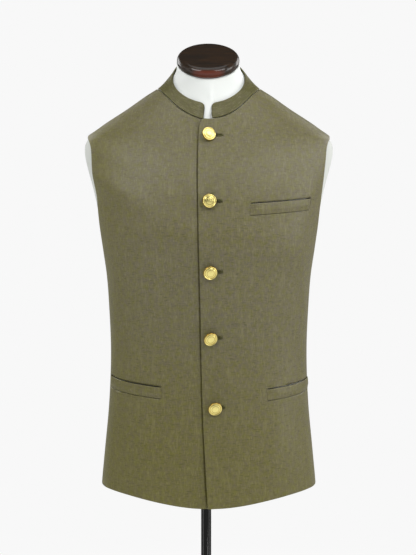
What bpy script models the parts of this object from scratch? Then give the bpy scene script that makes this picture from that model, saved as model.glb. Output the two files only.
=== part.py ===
"""A nehru jacket, sleeveless and buttoned, on a limbless dress form with a wooden neck cap.

Metres, +Z up. The front faces -Y, left and right are the wearer's, and the origin is the
middle of the base's underside. Every cloth piece lies on one body surface, which level
sections describe: a place on it is a turn about the body (0 at the front, 90 at the wearer's
left side, 180 at the back) and a height, and a depth counts inwards from the cloth's face.
"""

import functools
import math
from collections import namedtuple

import bmesh
import bpy
from mathutils import Vector

COLLECTION = "nehru_jacket"
CLOTH = 0.0020  # wall of the fronts and the back, shell and facing together
COLLAR_CLOTH = 0.0024
WELT_CLOTH = 0.0016
SEAM_GAP = 0.0003
SHARP_ANGLE = 40.0  # edges that turn more than this many degrees are shaded sharp
LAP_GAP = 0.0010
LAP_DEPTH = CLOTH + LAP_GAP  # the right front lies this much deeper under the left one

Section = namedtuple("Section", "height half_width front back squareness")

JACKET_SECTIONS = [
    Section(0.300, 0.1850, 0.1290, 0.1270, 2.30),
    Section(0.330, 0.1832, 0.1280, 0.1260, 2.30),
    Section(0.379, 0.1785, 0.1260, 0.1230, 2.30),
    Section(0.465, 0.1705, 0.1175, 0.1135, 2.25),
    Section(0.551, 0.1673, 0.1120, 0.1050, 2.20),  # waist
    Section(0.636, 0.1703, 0.1220, 0.1120, 2.25),
    Section(0.687, 0.1742, 0.1285, 0.1170, 2.30),  # underarm
    Section(0.721, 0.1798, 0.1315, 0.1200, 2.35),
    Section(0.758, 0.1862, 0.1320, 0.1220, 2.40),  # chest
    Section(0.808, 0.1945, 0.1260, 0.1220, 2.40),
    Section(0.841, 0.2033, 0.1175, 0.1200, 2.35),
    Section(0.875, 0.2122, 0.1045, 0.1145, 2.30),
    Section(0.892, 0.2142, 0.0965, 0.1100, 2.25),
    Section(0.909, 0.2115, 0.0865, 0.1045, 2.20),
    Section(0.9175, 0.2030, 0.0810, 0.1010, 2.20),  # shoulder point
    Section(0.926, 0.1908, 0.0757, 0.0970, 2.15),
    Section(0.939, 0.1725, 0.0690, 0.0905, 2.10),
    Section(0.961, 0.1385, 0.0595, 0.0790, 2.10),
    Section(0.983, 0.1070, 0.0510, 0.0665, 2.10),
    Section(0.995, 0.0880, 0.0465, 0.0595, 2.10),  # neck point
    Section(1.013, 0.0620, 0.0410, 0.0500, 2.10),
    Section(1.040, 0.0450, 0.0370, 0.0415, 2.10),
]

Inset = namedtuple("Inset", "height side front back")

FORM_INSETS = [  # how far the form's surface lies inside the body surface
    Inset(0.3430, 0.0150, 0.0150, 0.0150),  # edge of the flat underside
    Inset(0.3460, 0.0085, 0.0100, 0.0095),
    Inset(0.3530, 0.0048, 0.0070, 0.0060),
    Inset(0.3700, 0.0040, 0.0064, 0.0052),
    Inset(0.5510, 0.0038, 0.0062, 0.0050),
    Inset(0.7210, 0.0030, 0.0060, 0.0046),
    Inset(0.8080, 0.0027, 0.0062, 0.0056),
    Inset(0.9600, 0.0028, 0.0064, 0.0060),
    Inset(1.0130, 0.0038, 0.0064, 0.0050),
]
FORM_LEVELS = [  # heights of its level rings, which the cloth's own curve joins up
    0.3430,
    0.3460,
    0.3530,
    0.3700,
    0.4100,
    0.4500,
    0.4950,
    0.5400,
    0.5850,
    0.6300,
    0.6750,
    0.7150,
    0.7550,
    0.7900,
    0.8200,
    0.8450,
    0.8650,
    0.8820,
]
FORM_SIDES = 40
FORM_SIDE_POWER = 10  # a high one keeps the side's inset near the side
FORM_SHOULDER_RINGS = 10  # from the last level ring to the neckline
NECK_SIDE_LEAN = -0.09  # above the back neckline, the neck and collar lean to one side
NECK_LEAN_HEIGHT = 1.0245
NECK_CLEARANCE = 0.0012  # between the collar's inner face and the form's neck
NECK_COLLAR_SHARES = [0.15, 0.60]  # rings of the neck inside the collar, as shares of its width
NECK_RINGS = 4
NECK_FULLNESS = 0.8  # how far the neck keeps its direction at both ends of its curve
NECK_TOP_RISE = Vector((0.0, -0.1, 1.0))  # its direction where it meets the flat top
NECK_TOP_HEIGHT = 1.0395
NECK_TOP_HALF_WIDTH = 0.0530
NECK_TOP_FRONT = 0.0525
NECK_TOP_BACK = 0.0375
NECK_TOP_LEAN = 0.60  # rise of the neck's flat top for each metre from front to back

ArmholePoint = namedtuple("ArmholePoint", "height front_turn back_turn")

ARMHOLE = [
    ArmholePoint(0.6910, 90.0, 90.0),  # underarm
    ArmholePoint(0.6935, 85.8, 85.0),
    ArmholePoint(0.7020, 83.0, 81.0),
    ArmholePoint(0.7180, 80.8, 78.3),
    ArmholePoint(0.7410, 78.9, 76.6),
    ArmholePoint(0.7710, 77.2, 75.6),
    ArmholePoint(0.8080, 74.4, 74.6),
    ArmholePoint(0.8410, 69.9, 73.2),
    ArmholePoint(0.8710, 66.8, 72.4),
    ArmholePoint(0.8910, 66.4, 73.0),
    ArmholePoint(0.9050, 70.0, 76.5),
    ArmholePoint(0.9130, 78.0, 82.5),
    ArmholePoint(0.9175, 90.0, 90.0),  # shoulder point
]

HEM_HEIGHT = 0.325  # at the sides and all along the back
FRONT_HEM_DIP = 0.0190  # the front hem falls this much to its middle
HEM_DIP_POWER = 5

BODY_ROWS = 10  # rows of a panel's grid, from the hem to the underarm
CHEST_ROWS = 9  # from the underarm to the lap's corner
CORNER_SHARES = [0.0, 0.45, 0.75, 0.93]  # rows from the lap's corner up to the neckline
FRONT_CHEST_SHARE = 0.60  # share of the armhole that lies beside the chest rows
BACK_CHEST_SHARE = 0.66
FRONT_COLUMNS = 15
BACK_COLUMNS = 12  # in each half
UNDERLAP_SHARES = [0.0, 0.060, 0.118, 0.132, 0.146, 0.160, 0.178, 0.235]  # close where it steps
OPEN_COLUMNS = 11  # of the right front, past those columns

LapPoint = namedtuple("LapPoint", "height x")

LAP_EDGE = [  # front edge of the left front, which lies on top
    LapPoint(0.300, -0.0010),
    LapPoint(0.372, -0.0053),
    LapPoint(0.469, -0.0100),
    LapPoint(0.648, -0.0139),
    LapPoint(0.842, -0.0177),
    LapPoint(0.915, -0.0170),
]
LAP_CORNER_HEIGHT = 0.915  # where the edge starts to round off into the neckline
LAP_TOP_X = -0.0090
UNDERLAP_WIDTH = 0.0365  # the right front goes on this far under the left one
UNDERLAP_DROP = 0.0020  # its neckline stays this much under the left one's
UNDERLAP_BLEND = 0.010  # it drops over this much of its neckline, and of its height
LAP_STEP_START = 0.014  # the right front starts to step down this far outside the lap's edge
LAP_STEP_RUN = 0.012

NECK_HALF_WIDTH = 0.0875
NECK_FRONT = 0.0675
NECK_BACK = 0.0460
NECK_SQUARENESS = 2.07
NECK_STEP = 7.5  # degrees between the places where pieces meet along the neckline

COLLAR_TOP_HALF_WIDTH = 0.0615
COLLAR_TOP_FRONT = 0.0560
COLLAR_TOP_BACK = 0.0410
COLLAR_FRONT_HEIGHT = 0.969
COLLAR_RISE = 0.088  # the top edge climbs this much from front to back
COLLAR_RISE_POWER = 0.92
COLLAR_CORNER = 0.009
COLLAR_RIGHT_END_X = -0.0090
COLLAR_LEFT_END_X = 0.0055
COLLAR_SEAM_GAP = 0.0005
COLLAR_CORNER_TURNS = [0.0, 0.5, 1.6, 3.4, 6.0]  # columns across a rounded corner, in degrees
COLLAR_ROWS = 3
COLLAR_TURN_SHARE = 0.5  # of its width, over which its wall turns from the body's normal to its own
ROUND = 2.0  # squareness of a true oval

Welt = namedtuple("Welt", "name inner_turn outer_turn inner_top outer_top height")

WELTS = [
    Welt("welt_chest", 20.2, 59.5, 0.8025, 0.811, 0.0185),
    Welt("welt_left", 34.4, 86.0, 0.498, 0.508, 0.018),
    Welt("welt_right", -27.4, -80.0, 0.502, 0.512, 0.018),
]
WELT_COLUMNS = 10
WELT_ROWS = 2

Button = namedtuple("Button", "height from_edge lean_sideways lean_up slit")

BUTTONS = [  # from_edge is the distance in from the lap's edge, the leans are in degrees
    Button(0.9148, 0.0152, 18.0, -18.0, 0.0233),
    Button(0.8071, 0.0170, 11.0, -7.0, 0.0200),
    Button(0.6935, 0.0161, 13.0, -12.0, 0.0192),
    Button(0.5852, 0.0138, 20.0, -16.0, 0.0188),
    Button(0.4715, 0.0193, 11.0, -25.0, 0.0150),
]
BUTTON_PROFILE = [  # (radius, height over the cloth's face), from the dome down to the shank
    (0.0000, 0.0092),
    (0.0042, 0.0089),
    (0.0077, 0.0081),
    (0.0091, 0.0076),
    (0.0101, 0.0081),
    (0.0110, 0.0077),
    (0.0116, 0.0068),
    (0.0112, 0.0058),
    (0.0090, 0.0052),
    (0.0018, 0.0046),
    (0.0018, -0.0016),
    (0.0000, -0.0016),
]
BUTTON_STEPS = 18

EYELET_RADIUS = 0.0030  # round end of a keyhole buttonhole, where the shank sits
SLIT_HALF_WIDTH = 0.0008
EYELET_STEPS = 12
SLIT_END_STEPS = 4
CUTTER_REACH = 0.0060

CAP_TILT = math.atan(NECK_TOP_LEAN)
CAP_STRETCH = 1.06  # the cap is an oval, longer from front to back
CAP_CENTRE_Y = -0.0075
CAP_PROFILE = [
    (0.0000, 0.0175),
    (0.0438, 0.0175),
    (0.0485, 0.0165),
    (0.0515, 0.0137),
    (0.0527, 0.0092),
    (0.0520, 0.0044),
    (0.0502, 0.0012),
    (0.0483, 0.0000),
    (0.0000, 0.0000),
]
CAP_STEPS = 36

POLE_X = -0.0045  # the stand is a little to the wearer's right of the form's middle
POLE_RADIUS = 0.0088
POLE_CLEARANCE = 0.0004
SOCKET_LENGTH = 0.040
SOCKET_FLANGE = 0.007  # thickness of its flange
SOCKET_FLANGE_RADIUS = 0.047
BOSS_WALL = 0.007  # wall of the tubes that hold the pole
BASE_RADIUS = 0.170
BASE_PLATE = 0.008  # its thickness at the boss
BASE_EDGE = 0.004  # its thickness at the rim's upper corner
BASE_BOSS_HEIGHT = 0.032
FILLET = 0.010  # round that joins the base's boss to its plate
CHAMFER = 0.0015
TURNED_STEPS = 32


def slope_at(xs, ys, i):
    """Slope of a smooth curve at its point i: the slope between that point's neighbours."""
    before = max(i - 1, 0)
    after = min(i + 1, len(xs) - 1)
    return (ys[after] - ys[before]) / (xs[after] - xs[before])


def smooth_through(xs, ys, x):
    """Value at x of a smooth curve through the points, made of cubic pieces."""
    x = min(max(x, xs[0]), xs[-1])
    i = 0
    while i < len(xs) - 2 and x > xs[i + 1]:
        i += 1
    run = xs[i + 1] - xs[i]
    t = (x - xs[i]) / run
    start = slope_at(xs, ys, i) * run
    end = slope_at(xs, ys, i + 1) * run
    return (
        (2 * t**3 - 3 * t**2 + 1) * ys[i]
        + (t**3 - 2 * t**2 + t) * start
        + (3 * t**2 - 2 * t**3) * ys[i + 1]
        + (t**3 - t**2) * end
    )


def column_of(rows, name):
    return [getattr(row, name) for row in rows]


UNDERARM = ARMHOLE[0].height
HEIGHTS = column_of(JACKET_SECTIONS, "height")
COLUMNS = {name: column_of(JACKET_SECTIONS, name) for name in Section._fields}


@functools.lru_cache(maxsize=None)
def size_at(height):
    """Half width, front depth, back depth and squareness of the body surface at a height."""
    names = ("half_width", "front", "back", "squareness")
    return tuple(smooth_through(HEIGHTS, COLUMNS[name], height) for name in names)


def oval_point(turn, half_width, front, back, squareness):
    """(x, y) on an oval that is squared off a little, with its own depth in front and behind."""
    side = math.sin(math.radians(turn))
    reach = max(1 - abs(side) ** squareness, 0.0) ** (1 / squareness)
    facing_front = math.cos(math.radians(turn)) >= 0
    return half_width * side, -front * reach if facing_front else back * reach


def face_point(turn, height):
    x, y = oval_point(turn, *size_at(height))
    return Vector((x, y, height))


def outward(turn, height):
    """Unit normal of the body surface, from the points on either side."""
    around = face_point(turn + 0.5, height) - face_point(turn - 0.5, height)
    up = face_point(turn, height + 0.0005) - face_point(turn, height - 0.0005)
    return around.cross(up).normalized()


def cloth_point(turn, height, depth):
    return face_point(turn, height) - outward(turn, height) * depth


def turn_of_x(x, height):
    return math.degrees(math.asin(x / size_at(height)[0]))


def seam_turn(height, back=False):
    """The turn at a side or shoulder seam, half a seam's gap short of the side."""
    _, front_depth, back_depth, squareness = size_at(height)
    share = SEAM_GAP / 2 / (back_depth if back else front_depth)
    turn = math.degrees(math.asin((1 - share**squareness) ** (1 / squareness)))
    return 180 - turn if back else turn


def ease(t):
    """0 before 0, 1 after 1, and a smooth rise between."""
    t = min(max(t, 0.0), 1.0)
    return t * t * (3 - 2 * t)


def lap_x(height):
    return smooth_through(column_of(LAP_EDGE, "height"), column_of(LAP_EDGE, "x"), height)


def step_down(x, height):
    """Depth of what belongs to the right front, which dives under the left one's edge."""
    start = lap_x(height) - LAP_STEP_START
    return LAP_DEPTH * ease((x - start) / LAP_STEP_RUN)


@functools.lru_cache(maxsize=None)
def neckline(angle):
    """(turn, height) on the body surface at an angle about the neck, 0 in front, 180 behind."""
    x, y = oval_point(angle, NECK_HALF_WIDTH, NECK_FRONT, NECK_BACK, NECK_SQUARENESS)
    low, high = HEIGHTS[0], HEIGHTS[-1]
    for _ in range(40):
        height = (low + high) / 2
        half_width, front, back, squareness = size_at(height)
        depth = front if y < 0 else back
        reach = abs(x / half_width) ** squareness + abs(y / depth) ** squareness
        if reach < 1:
            low = height
        else:
            high = height
    turn = math.degrees(math.asin(max(-1.0, min(1.0, x / size_at(height)[0]))))
    return (180 - turn if abs(angle) > 90 else turn), height


def neck_angle_of_x(x):
    return math.degrees(math.asin(x / NECK_HALF_WIDTH))


def armhole_point(share, column):
    """(turn, height) at a share of the armhole's points, from the underarm to the shoulder."""
    steps = list(range(len(ARMHOLE)))
    place = share * steps[-1]
    turn = smooth_through(steps, column_of(ARMHOLE, column), place)
    height = smooth_through(steps, column_of(ARMHOLE, "height"), place)
    return turn, height


def front_hem(turn):
    return HEM_HEIGHT - FRONT_HEM_DIP * math.cos(math.radians(turn)) ** HEM_DIP_POWER


def row_between(start, end, shares):
    """Places on a straight run from one (turn, height) to another."""
    places = []
    for share in shares:
        turn = start[0] + (end[0] - start[0]) * share
        height = start[1] + (end[1] - start[1]) * share
        places.append((turn, height))
    return places


def body_rows(front_edge, side_edge, hem, shares):
    """Rows from the hem to the underarm, which turn from the hem's curve to a level line."""
    rows = []
    for i in range(BODY_ROWS):
        rise = i / BODY_ROWS
        row = []
        for share in shares:
            level = HEM_HEIGHT + (UNDERARM - HEM_HEIGHT) * rise
            turn = front_edge(level) + (side_edge(level) - front_edge(level)) * share
            height = hem(turn) + (UNDERARM - hem(turn)) * rise
            turn = front_edge(height) + (side_edge(height) - front_edge(height)) * share
            row.append((turn, height))
        rows.append(row)
    return rows


def lap_corner(share):
    """(turn, height) on the rounded corner between the lap's edge and the neckline."""
    top = neckline(neck_angle_of_x(LAP_TOP_X))[1]
    height = LAP_CORNER_HEIGHT + (top - LAP_CORNER_HEIGHT) * share
    start = lap_x(LAP_CORNER_HEIGHT)
    x = start + (LAP_TOP_X - start) * (1 - math.sqrt(1 - share**2))
    return turn_of_x(x, height), height


def front_rows(edge_points, neck_angles, shares, edge_turn):
    """Rows of a front on the wearer's left. Those above the underarm fan out to the armhole."""
    rows = body_rows(edge_turn, seam_turn, front_hem, shares)
    for i, start in enumerate(edge_points):
        armhole = armhole_point(FRONT_CHEST_SHARE * i / len(edge_points), "front_turn")
        rows.append(row_between(start, armhole, shares))
    for i, angle in enumerate(neck_angles):
        share = FRONT_CHEST_SHARE + (1 - FRONT_CHEST_SHARE) * i / (len(neck_angles) - 1)
        armhole = armhole_point(share, "front_turn")
        rows.append(row_between(neckline(angle), armhole, shares))
    for row in rows:
        row[:] = [(min(turn, seam_turn(height)), height) for turn, height in row]
    return rows


def evenly(start, end, count):
    """count values from start towards end, end itself left out."""
    return [start + (end - start) * i / count for i in range(count)]


def neck_angles_from(x):
    """Angles about the neck from a place x to the neck point at the side, both included."""
    first = neck_angle_of_x(x)
    steps = range(math.ceil(first / NECK_STEP + 0.3), round(90 / NECK_STEP) + 1)
    return [first] + [NECK_STEP * i for i in steps]


def left_front_rows():
    shares = [i / FRONT_COLUMNS for i in range(FRONT_COLUMNS + 1)]
    edge = []
    for height in evenly(UNDERARM, LAP_CORNER_HEIGHT, CHEST_ROWS):
        edge.append((turn_of_x(lap_x(height), height), height))
    edge += [lap_corner(share) for share in CORNER_SHARES]
    return front_rows(
        edge,
        neck_angles_from(LAP_TOP_X),
        shares,
        lambda height: turn_of_x(lap_x(height), height),
    )


def underlap_turn(height):
    """Turn of the right front's edge, as if it were on the wearer's left."""
    return turn_of_x(-lap_x(height) - UNDERLAP_WIDTH, height)


def right_front_rows():
    """Worked out on the wearer's left, like the other front, and mirrored when it is built."""
    shares = UNDERLAP_SHARES[:-1] + evenly(UNDERLAP_SHARES[-1], 1.0, OPEN_COLUMNS) + [1.0]
    neck_x = -lap_x(LAP_CORNER_HEIGHT) - UNDERLAP_WIDTH
    top = neckline(neck_angle_of_x(neck_x))[1]
    heights = evenly(UNDERARM, LAP_CORNER_HEIGHT, CHEST_ROWS)
    for share in CORNER_SHARES:
        heights.append(LAP_CORNER_HEIGHT + (top - LAP_CORNER_HEIGHT) * share)
    edge = [(underlap_turn(height), height) for height in heights]
    return front_rows(edge, neck_angles_from(neck_x), shares, underlap_turn)


def right_front_point(turn, height, depth):
    """A place of the mirrored rows, moved to the wearer's right and under the left front."""
    x = -face_point(turn, height).x
    covered = ease((x - COLLAR_RIGHT_END_X) / UNDERLAP_BLEND)
    above = ease((height - LAP_CORNER_HEIGHT) / UNDERLAP_BLEND)
    height -= UNDERLAP_DROP * covered * above
    return cloth_point(-turn, height, depth + step_down(x, height))


def back_level_rows():
    """How many of the back's rows start at its middle, where its two halves meet."""
    return BODY_ROWS + CHEST_ROWS + len(CORNER_SHARES) - 1


def back_rows():
    """Rows of the wearer's left half of the back, from the middle to the seam and armhole."""

    def centre(_):
        return 180.0

    def side(height):
        return seam_turn(height, back=True)

    shares = [i / BACK_COLUMNS for i in range(BACK_COLUMNS + 1)]
    rows = body_rows(centre, side, lambda _: HEM_HEIGHT, shares)
    top = neckline(180.0)[1]
    level_rows = back_level_rows() - BODY_ROWS - 1
    for i, height in enumerate(evenly(UNDERARM, top, level_rows)):
        turn, armhole_height = armhole_point(BACK_CHEST_SHARE * i / level_rows, "back_turn")
        rows.append(row_between((180.0, height), (180 - turn, armhole_height), shares))
    angles = neck_angles_from(0.0)
    for i, angle in enumerate(angles):
        share = BACK_CHEST_SHARE + (1 - BACK_CHEST_SHARE) * i / (len(angles) - 1)
        turn, armhole_height = armhole_point(share, "back_turn")
        rows.append(row_between(neckline(180 - angle), (180 - turn, armhole_height), shares))
    return [[(max(turn, side(height)), height) for turn, height in row] for row in rows]


def material(name, colour, roughness, metallic=0.0):
    made = bpy.data.materials.new(name)
    made.use_nodes = True
    shader = made.node_tree.nodes["Principled BSDF"]
    shader.inputs["Base Color"].default_value = (*colour, 1.0)
    shader.inputs["Roughness"].default_value = roughness
    shader.inputs["Metallic"].default_value = metallic
    return made


def add_object(name, mesh, finish, collection):
    made = bpy.data.objects.new(name, mesh)
    collection.objects.link(made)
    if finish and not mesh.materials:
        mesh.materials.append(finish)
    return made


def shade_round(mesh):
    mesh.shade_smooth()
    mesh.set_sharp_from_angle(angle=math.radians(SHARP_ANGLE))


def mesh_from(builder, name):
    """The closed mesh that a bmesh builder holds, with its faces turned out."""
    bmesh.ops.recalc_face_normals(builder, faces=builder.faces)
    mesh = bpy.data.meshes.new(name)
    builder.to_mesh(mesh)
    builder.free()
    shade_round(mesh)
    return mesh


def add_wall(name, outer, inner, finish, collection, open_rows=1):
    """A wall lofted between two grids of points, with a rim all round that closes it.

    Where a mirrored half will join, the rim is left out: along the first column, below open_rows.
    """
    builder = bmesh.new()
    grids = [[[builder.verts.new(point) for point in row] for row in grid] for grid in (outer, inner)]
    rows, columns = len(outer), len(outer[0])
    for r in range(rows - 1):
        for c in range(columns - 1):
            corners = [(r, c), (r, c + 1), (r + 1, c + 1), (r + 1, c)]
            builder.faces.new([grids[0][i][j] for i, j in corners])
            builder.faces.new([grids[1][i][j] for i, j in reversed(corners)])
    rim = [(0, c) for c in range(columns)]
    rim += [(r, columns - 1) for r in range(1, rows)]
    rim += [(rows - 1, c) for c in range(columns - 2, -1, -1)]
    rim += [(r, 0) for r in range(rows - 2, open_rows - 2, -1)]
    for (i, j), (k, m) in zip(rim, rim[1:]):
        builder.faces.new([grids[0][i][j], grids[1][i][j], grids[1][k][m], grids[0][k][m]])
    return add_object(name, mesh_from(builder, name), finish, collection)


def loft(builder, rings):
    """Closed rings of points joined each to the next, with a flat face at both ends."""
    made = [[builder.verts.new(point) for point in ring] for ring in rings]
    for low, high in zip(made, made[1:]):
        for i in range(len(low)):
            j = (i + 1) % len(low)
            builder.faces.new([low[i], low[j], high[j], high[i]])
    builder.faces.new(made[0])
    builder.faces.new(made[-1])


def grid_of(rows, place, depth):
    return [[place(turn, height, depth) for turn, height in row] for row in rows]


def add_panel(name, rows, place, finish, collection):
    outer = grid_of(rows, place, 0.0)
    inner = grid_of(rows, place, CLOTH)
    return add_wall(name, outer, inner, finish, collection)


def add_back(finish, collection):
    """The back is cut in one, so its left half is mirrored and joined along the middle."""
    rows = back_rows()
    outer = grid_of(rows, cloth_point, 0.0)
    inner = grid_of(rows, cloth_point, CLOTH)
    back = add_wall("back", outer, inner, finish, collection, back_level_rows())
    mirror = back.modifiers.new("other_half", "MIRROR")
    mirror.use_clip = True
    mirror.merge_threshold = 0.00005
    return back


def collar_base(angle):
    turn, height = neckline(angle)
    x = face_point(turn, height).x
    on_right = x < 0 and abs(angle) < 90
    depth = step_down(x, LAP_CORNER_HEIGHT) if on_right else 0.0
    return cloth_point(turn, height, depth), depth


def collar_surface(angle, share):
    """Outer face of the standing band: share is 0 at the neck seam and 1 at the top edge."""
    base, depth = collar_base(angle)
    x, y = oval_point(angle, COLLAR_TOP_HALF_WIDTH, COLLAR_TOP_FRONT, COLLAR_TOP_BACK, ROUND)
    way_round = (1 - math.cos(math.radians(angle))) / 2
    top = Vector((x, y + depth, COLLAR_FRONT_HEIGHT + COLLAR_RISE * way_round**COLLAR_RISE_POWER))
    band = top - base
    start = base + band.normalized() * COLLAR_SEAM_GAP
    return start + (top - start) * share


def collar_point(angle, share, depth):
    """A place in the band's thickness, which turns square to the body surface at the seam."""
    around = collar_surface(angle + 0.5, share) - collar_surface(angle - 0.5, share)
    up = collar_surface(angle, 1.0) - collar_surface(angle, 0.0)
    band_normal = around.cross(up).normalized()
    turned = ease(share / COLLAR_TURN_SHARE)
    normal = outward(*neckline(angle)).lerp(band_normal, turned).normalized()
    return collar_surface(angle, share) - normal * depth


def leaned(point):
    """The point, moved sideways with the lean of the neck."""
    shift = NECK_SIDE_LEAN * max(point.z - NECK_LEAN_HEIGHT, 0.0)
    return point + Vector((shift, 0.0, 0.0))


def collar_height_share(angle, ends):
    """Share of the full width at an angle: less at the ends, where the corners are round."""
    nearest = min(abs(angle - end) for end in ends)
    run = math.radians(nearest) * NECK_FRONT
    width = (collar_surface(angle, 1.0) - collar_surface(angle, 0.0)).length
    if run >= COLLAR_CORNER:
        return 1.0
    lost = COLLAR_CORNER - math.sqrt(COLLAR_CORNER**2 - (COLLAR_CORNER - run) ** 2)
    return 1.0 - lost / width


def add_collar(finish, collection):
    """The band runs from its left end round the back to its right end, as angles past 180."""
    start = neck_angle_of_x(COLLAR_LEFT_END_X)
    end = 360 + neck_angle_of_x(COLLAR_RIGHT_END_X)
    first = start + COLLAR_CORNER_TURNS[-1] + 2
    last = end - COLLAR_CORNER_TURNS[-1] - 2
    angles = [start + turn for turn in COLLAR_CORNER_TURNS]
    angles += [NECK_STEP * i for i in range(int(360 / NECK_STEP)) if first < NECK_STEP * i < last]
    angles += [end - turn for turn in reversed(COLLAR_CORNER_TURNS)]
    grids = []
    for depth in (0.0, COLLAR_CLOTH):
        grid = []
        for r in range(COLLAR_ROWS + 1):
            row = []
            for angle in angles:
                share = collar_height_share(angle, (start, end)) * r / COLLAR_ROWS
                row.append(leaned(collar_point(signed(angle), share, depth)))
            grid.append(row)
        grids.append(grid)
    return add_wall("collar", grids[0], grids[1], finish, collection)


def signed(angle):
    """The same angle between -180 and 180."""
    return angle if angle <= 180 else angle - 360


def add_welt(welt, finish, collection):
    """A pocket welt, made from the points of the front under it, moved out."""
    grids = []
    for depth in (-SEAM_GAP - WELT_CLOTH, -SEAM_GAP):
        grid = []
        for r in range(WELT_ROWS + 1):
            row = []
            for c in range(WELT_COLUMNS + 1):
                share = c / WELT_COLUMNS
                turn = welt.inner_turn + (welt.outer_turn - welt.inner_turn) * share
                top = welt.inner_top + (welt.outer_top - welt.inner_top) * share
                height = top - welt.height * (1 - r / WELT_ROWS)
                row.append(cloth_point(turn, height, depth))
            grid.append(row)
        grids.append(grid)
    return add_wall(welt.name, grids[0], grids[1], finish, collection)


def button_place(button):
    """The point on the cloth where a button's shank goes in, and the cloth's normal there."""
    x = lap_x(button.height) + button.from_edge
    turn = turn_of_x(x, button.height)
    return face_point(turn, button.height), outward(turn, button.height)


def keyhole_outline(slit):
    """Flat outline of a keyhole buttonhole: its eyelet is at the origin, its slit runs to +X."""
    opening = math.degrees(math.asin(SLIT_HALF_WIDTH / EYELET_RADIUS))
    outline = []
    for i in range(EYELET_STEPS + 1):
        angle = math.radians(opening + (360 - 2 * opening) * i / EYELET_STEPS)
        outline.append((EYELET_RADIUS * math.cos(angle), EYELET_RADIUS * math.sin(angle)))
    end = slit - SLIT_HALF_WIDTH
    for i in range(SLIT_END_STEPS + 1):
        angle = math.radians(-90 + 180 * i / SLIT_END_STEPS)
        x = end + SLIT_HALF_WIDTH * math.cos(angle)
        outline.append((x, SLIT_HALF_WIDTH * math.sin(angle)))
    return outline


def add_buttonhole_cutter(collection):
    """One prism for each buttonhole, across the wall of the left front."""
    builder = bmesh.new()
    for button in BUTTONS:
        centre, normal = button_place(button)
        along = Vector((0, 0, 1)).cross(normal).normalized()
        up = normal.cross(along)
        middle = [centre + along * x + up * z for x, z in keyhole_outline(button.slit)]
        reach = normal * CUTTER_REACH
        loft(builder, [[point + reach for point in middle], [point - reach for point in middle]])
    name = "buttonhole_cutter"
    cutter = add_object(name, mesh_from(builder, name), None, collection)
    cutter.hide_render = True
    cutter.display_type = "WIRE"
    return cutter


def add_turned(name, profile, steps, finish, collection):
    """A turned piece: its half profile, top to bottom down the outer side, spun about Z."""
    mesh = bpy.data.meshes.new(name)
    points = [(radius, 0.0, height) for radius, height in profile]
    edges = [(i, i + 1) for i in range(len(points) - 1)]
    mesh.from_pydata(points, edges, [])
    made = add_object(name, mesh, finish, collection)
    spin_about_z(made, steps)
    return made


def spin_about_z(made, steps):
    spin = made.modifiers.new("spin", "SCREW")
    spin.steps = steps
    spin.render_steps = steps
    spin.use_merge_vertices = True
    spin.merge_threshold = 0.00005
    spin.use_smooth_shade = True


def add_buttons(finish, collection):
    """Five buttons that share one turned profile, each leaning a little on its shank."""
    profile = None
    for number, button in enumerate(BUTTONS, start=1):
        name = f"button_{number}"
        if profile is None:
            made = add_turned(name, BUTTON_PROFILE, BUTTON_STEPS, finish, collection)
            profile = made.data
        else:
            made = add_object(name, profile, finish, collection)
            spin_about_z(made, BUTTON_STEPS)
        centre, normal = button_place(button)
        sideways = Vector((math.sin(math.radians(button.lean_sideways)), 0, 0))
        upwards = Vector((0, 0, math.sin(math.radians(button.lean_up))))
        facing = (normal + sideways + upwards).normalized()
        made.rotation_mode = "QUATERNION"
        made.rotation_quaternion = facing.to_track_quat("Z", "Y")
        made.location = centre


def form_point(turn, height):
    """A point of the torso, further inside the cloth in front, where two fronts overlap."""
    middle = "front" if math.cos(math.radians(turn)) >= 0 else "back"
    heights = column_of(FORM_INSETS, "height")
    side_inset = smooth_through(heights, column_of(FORM_INSETS, "side"), height)
    middle_inset = smooth_through(heights, column_of(FORM_INSETS, middle), height)
    sideways = math.sin(math.radians(turn)) ** FORM_SIDE_POWER
    return cloth_point(turn, height, middle_inset + (side_inset - middle_inset) * sideways)


def neck_depth(angle):
    """How far the form's neck lies inside the collar's outer face."""
    in_front = max(math.cos(math.radians(angle)), 0.0)
    return COLLAR_CLOTH + NECK_CLEARANCE + LAP_DEPTH * in_front


def mirrored_to(angle, point):
    """The point, or its mirror image for an angle on the wearer's right."""
    return Vector((math.copysign(point.x, angle), point.y, point.z))


def neck_ring_point(angle, share):
    """A point of the neck, from just inside the collar's top edge to the flat top."""
    start = collar_point(abs(angle), 1.0, neck_depth(angle))
    leaving = start - collar_point(abs(angle), NECK_COLLAR_SHARES[-1], neck_depth(angle))
    x, y = oval_point(abs(angle), NECK_TOP_HALF_WIDTH, NECK_TOP_FRONT, NECK_TOP_BACK, ROUND)
    end = Vector((x, y, NECK_TOP_HEIGHT + y * NECK_TOP_LEAN))
    reach = (end - start).length * NECK_FULLNESS
    bend = (share - 2 * share**2 + share**3) * reach
    rise = (share**3 - share**2) * reach
    across = start.lerp(end, ease(share))
    point = across + leaving.normalized() * bend + NECK_TOP_RISE * rise
    return mirrored_to(angle, point)


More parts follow.
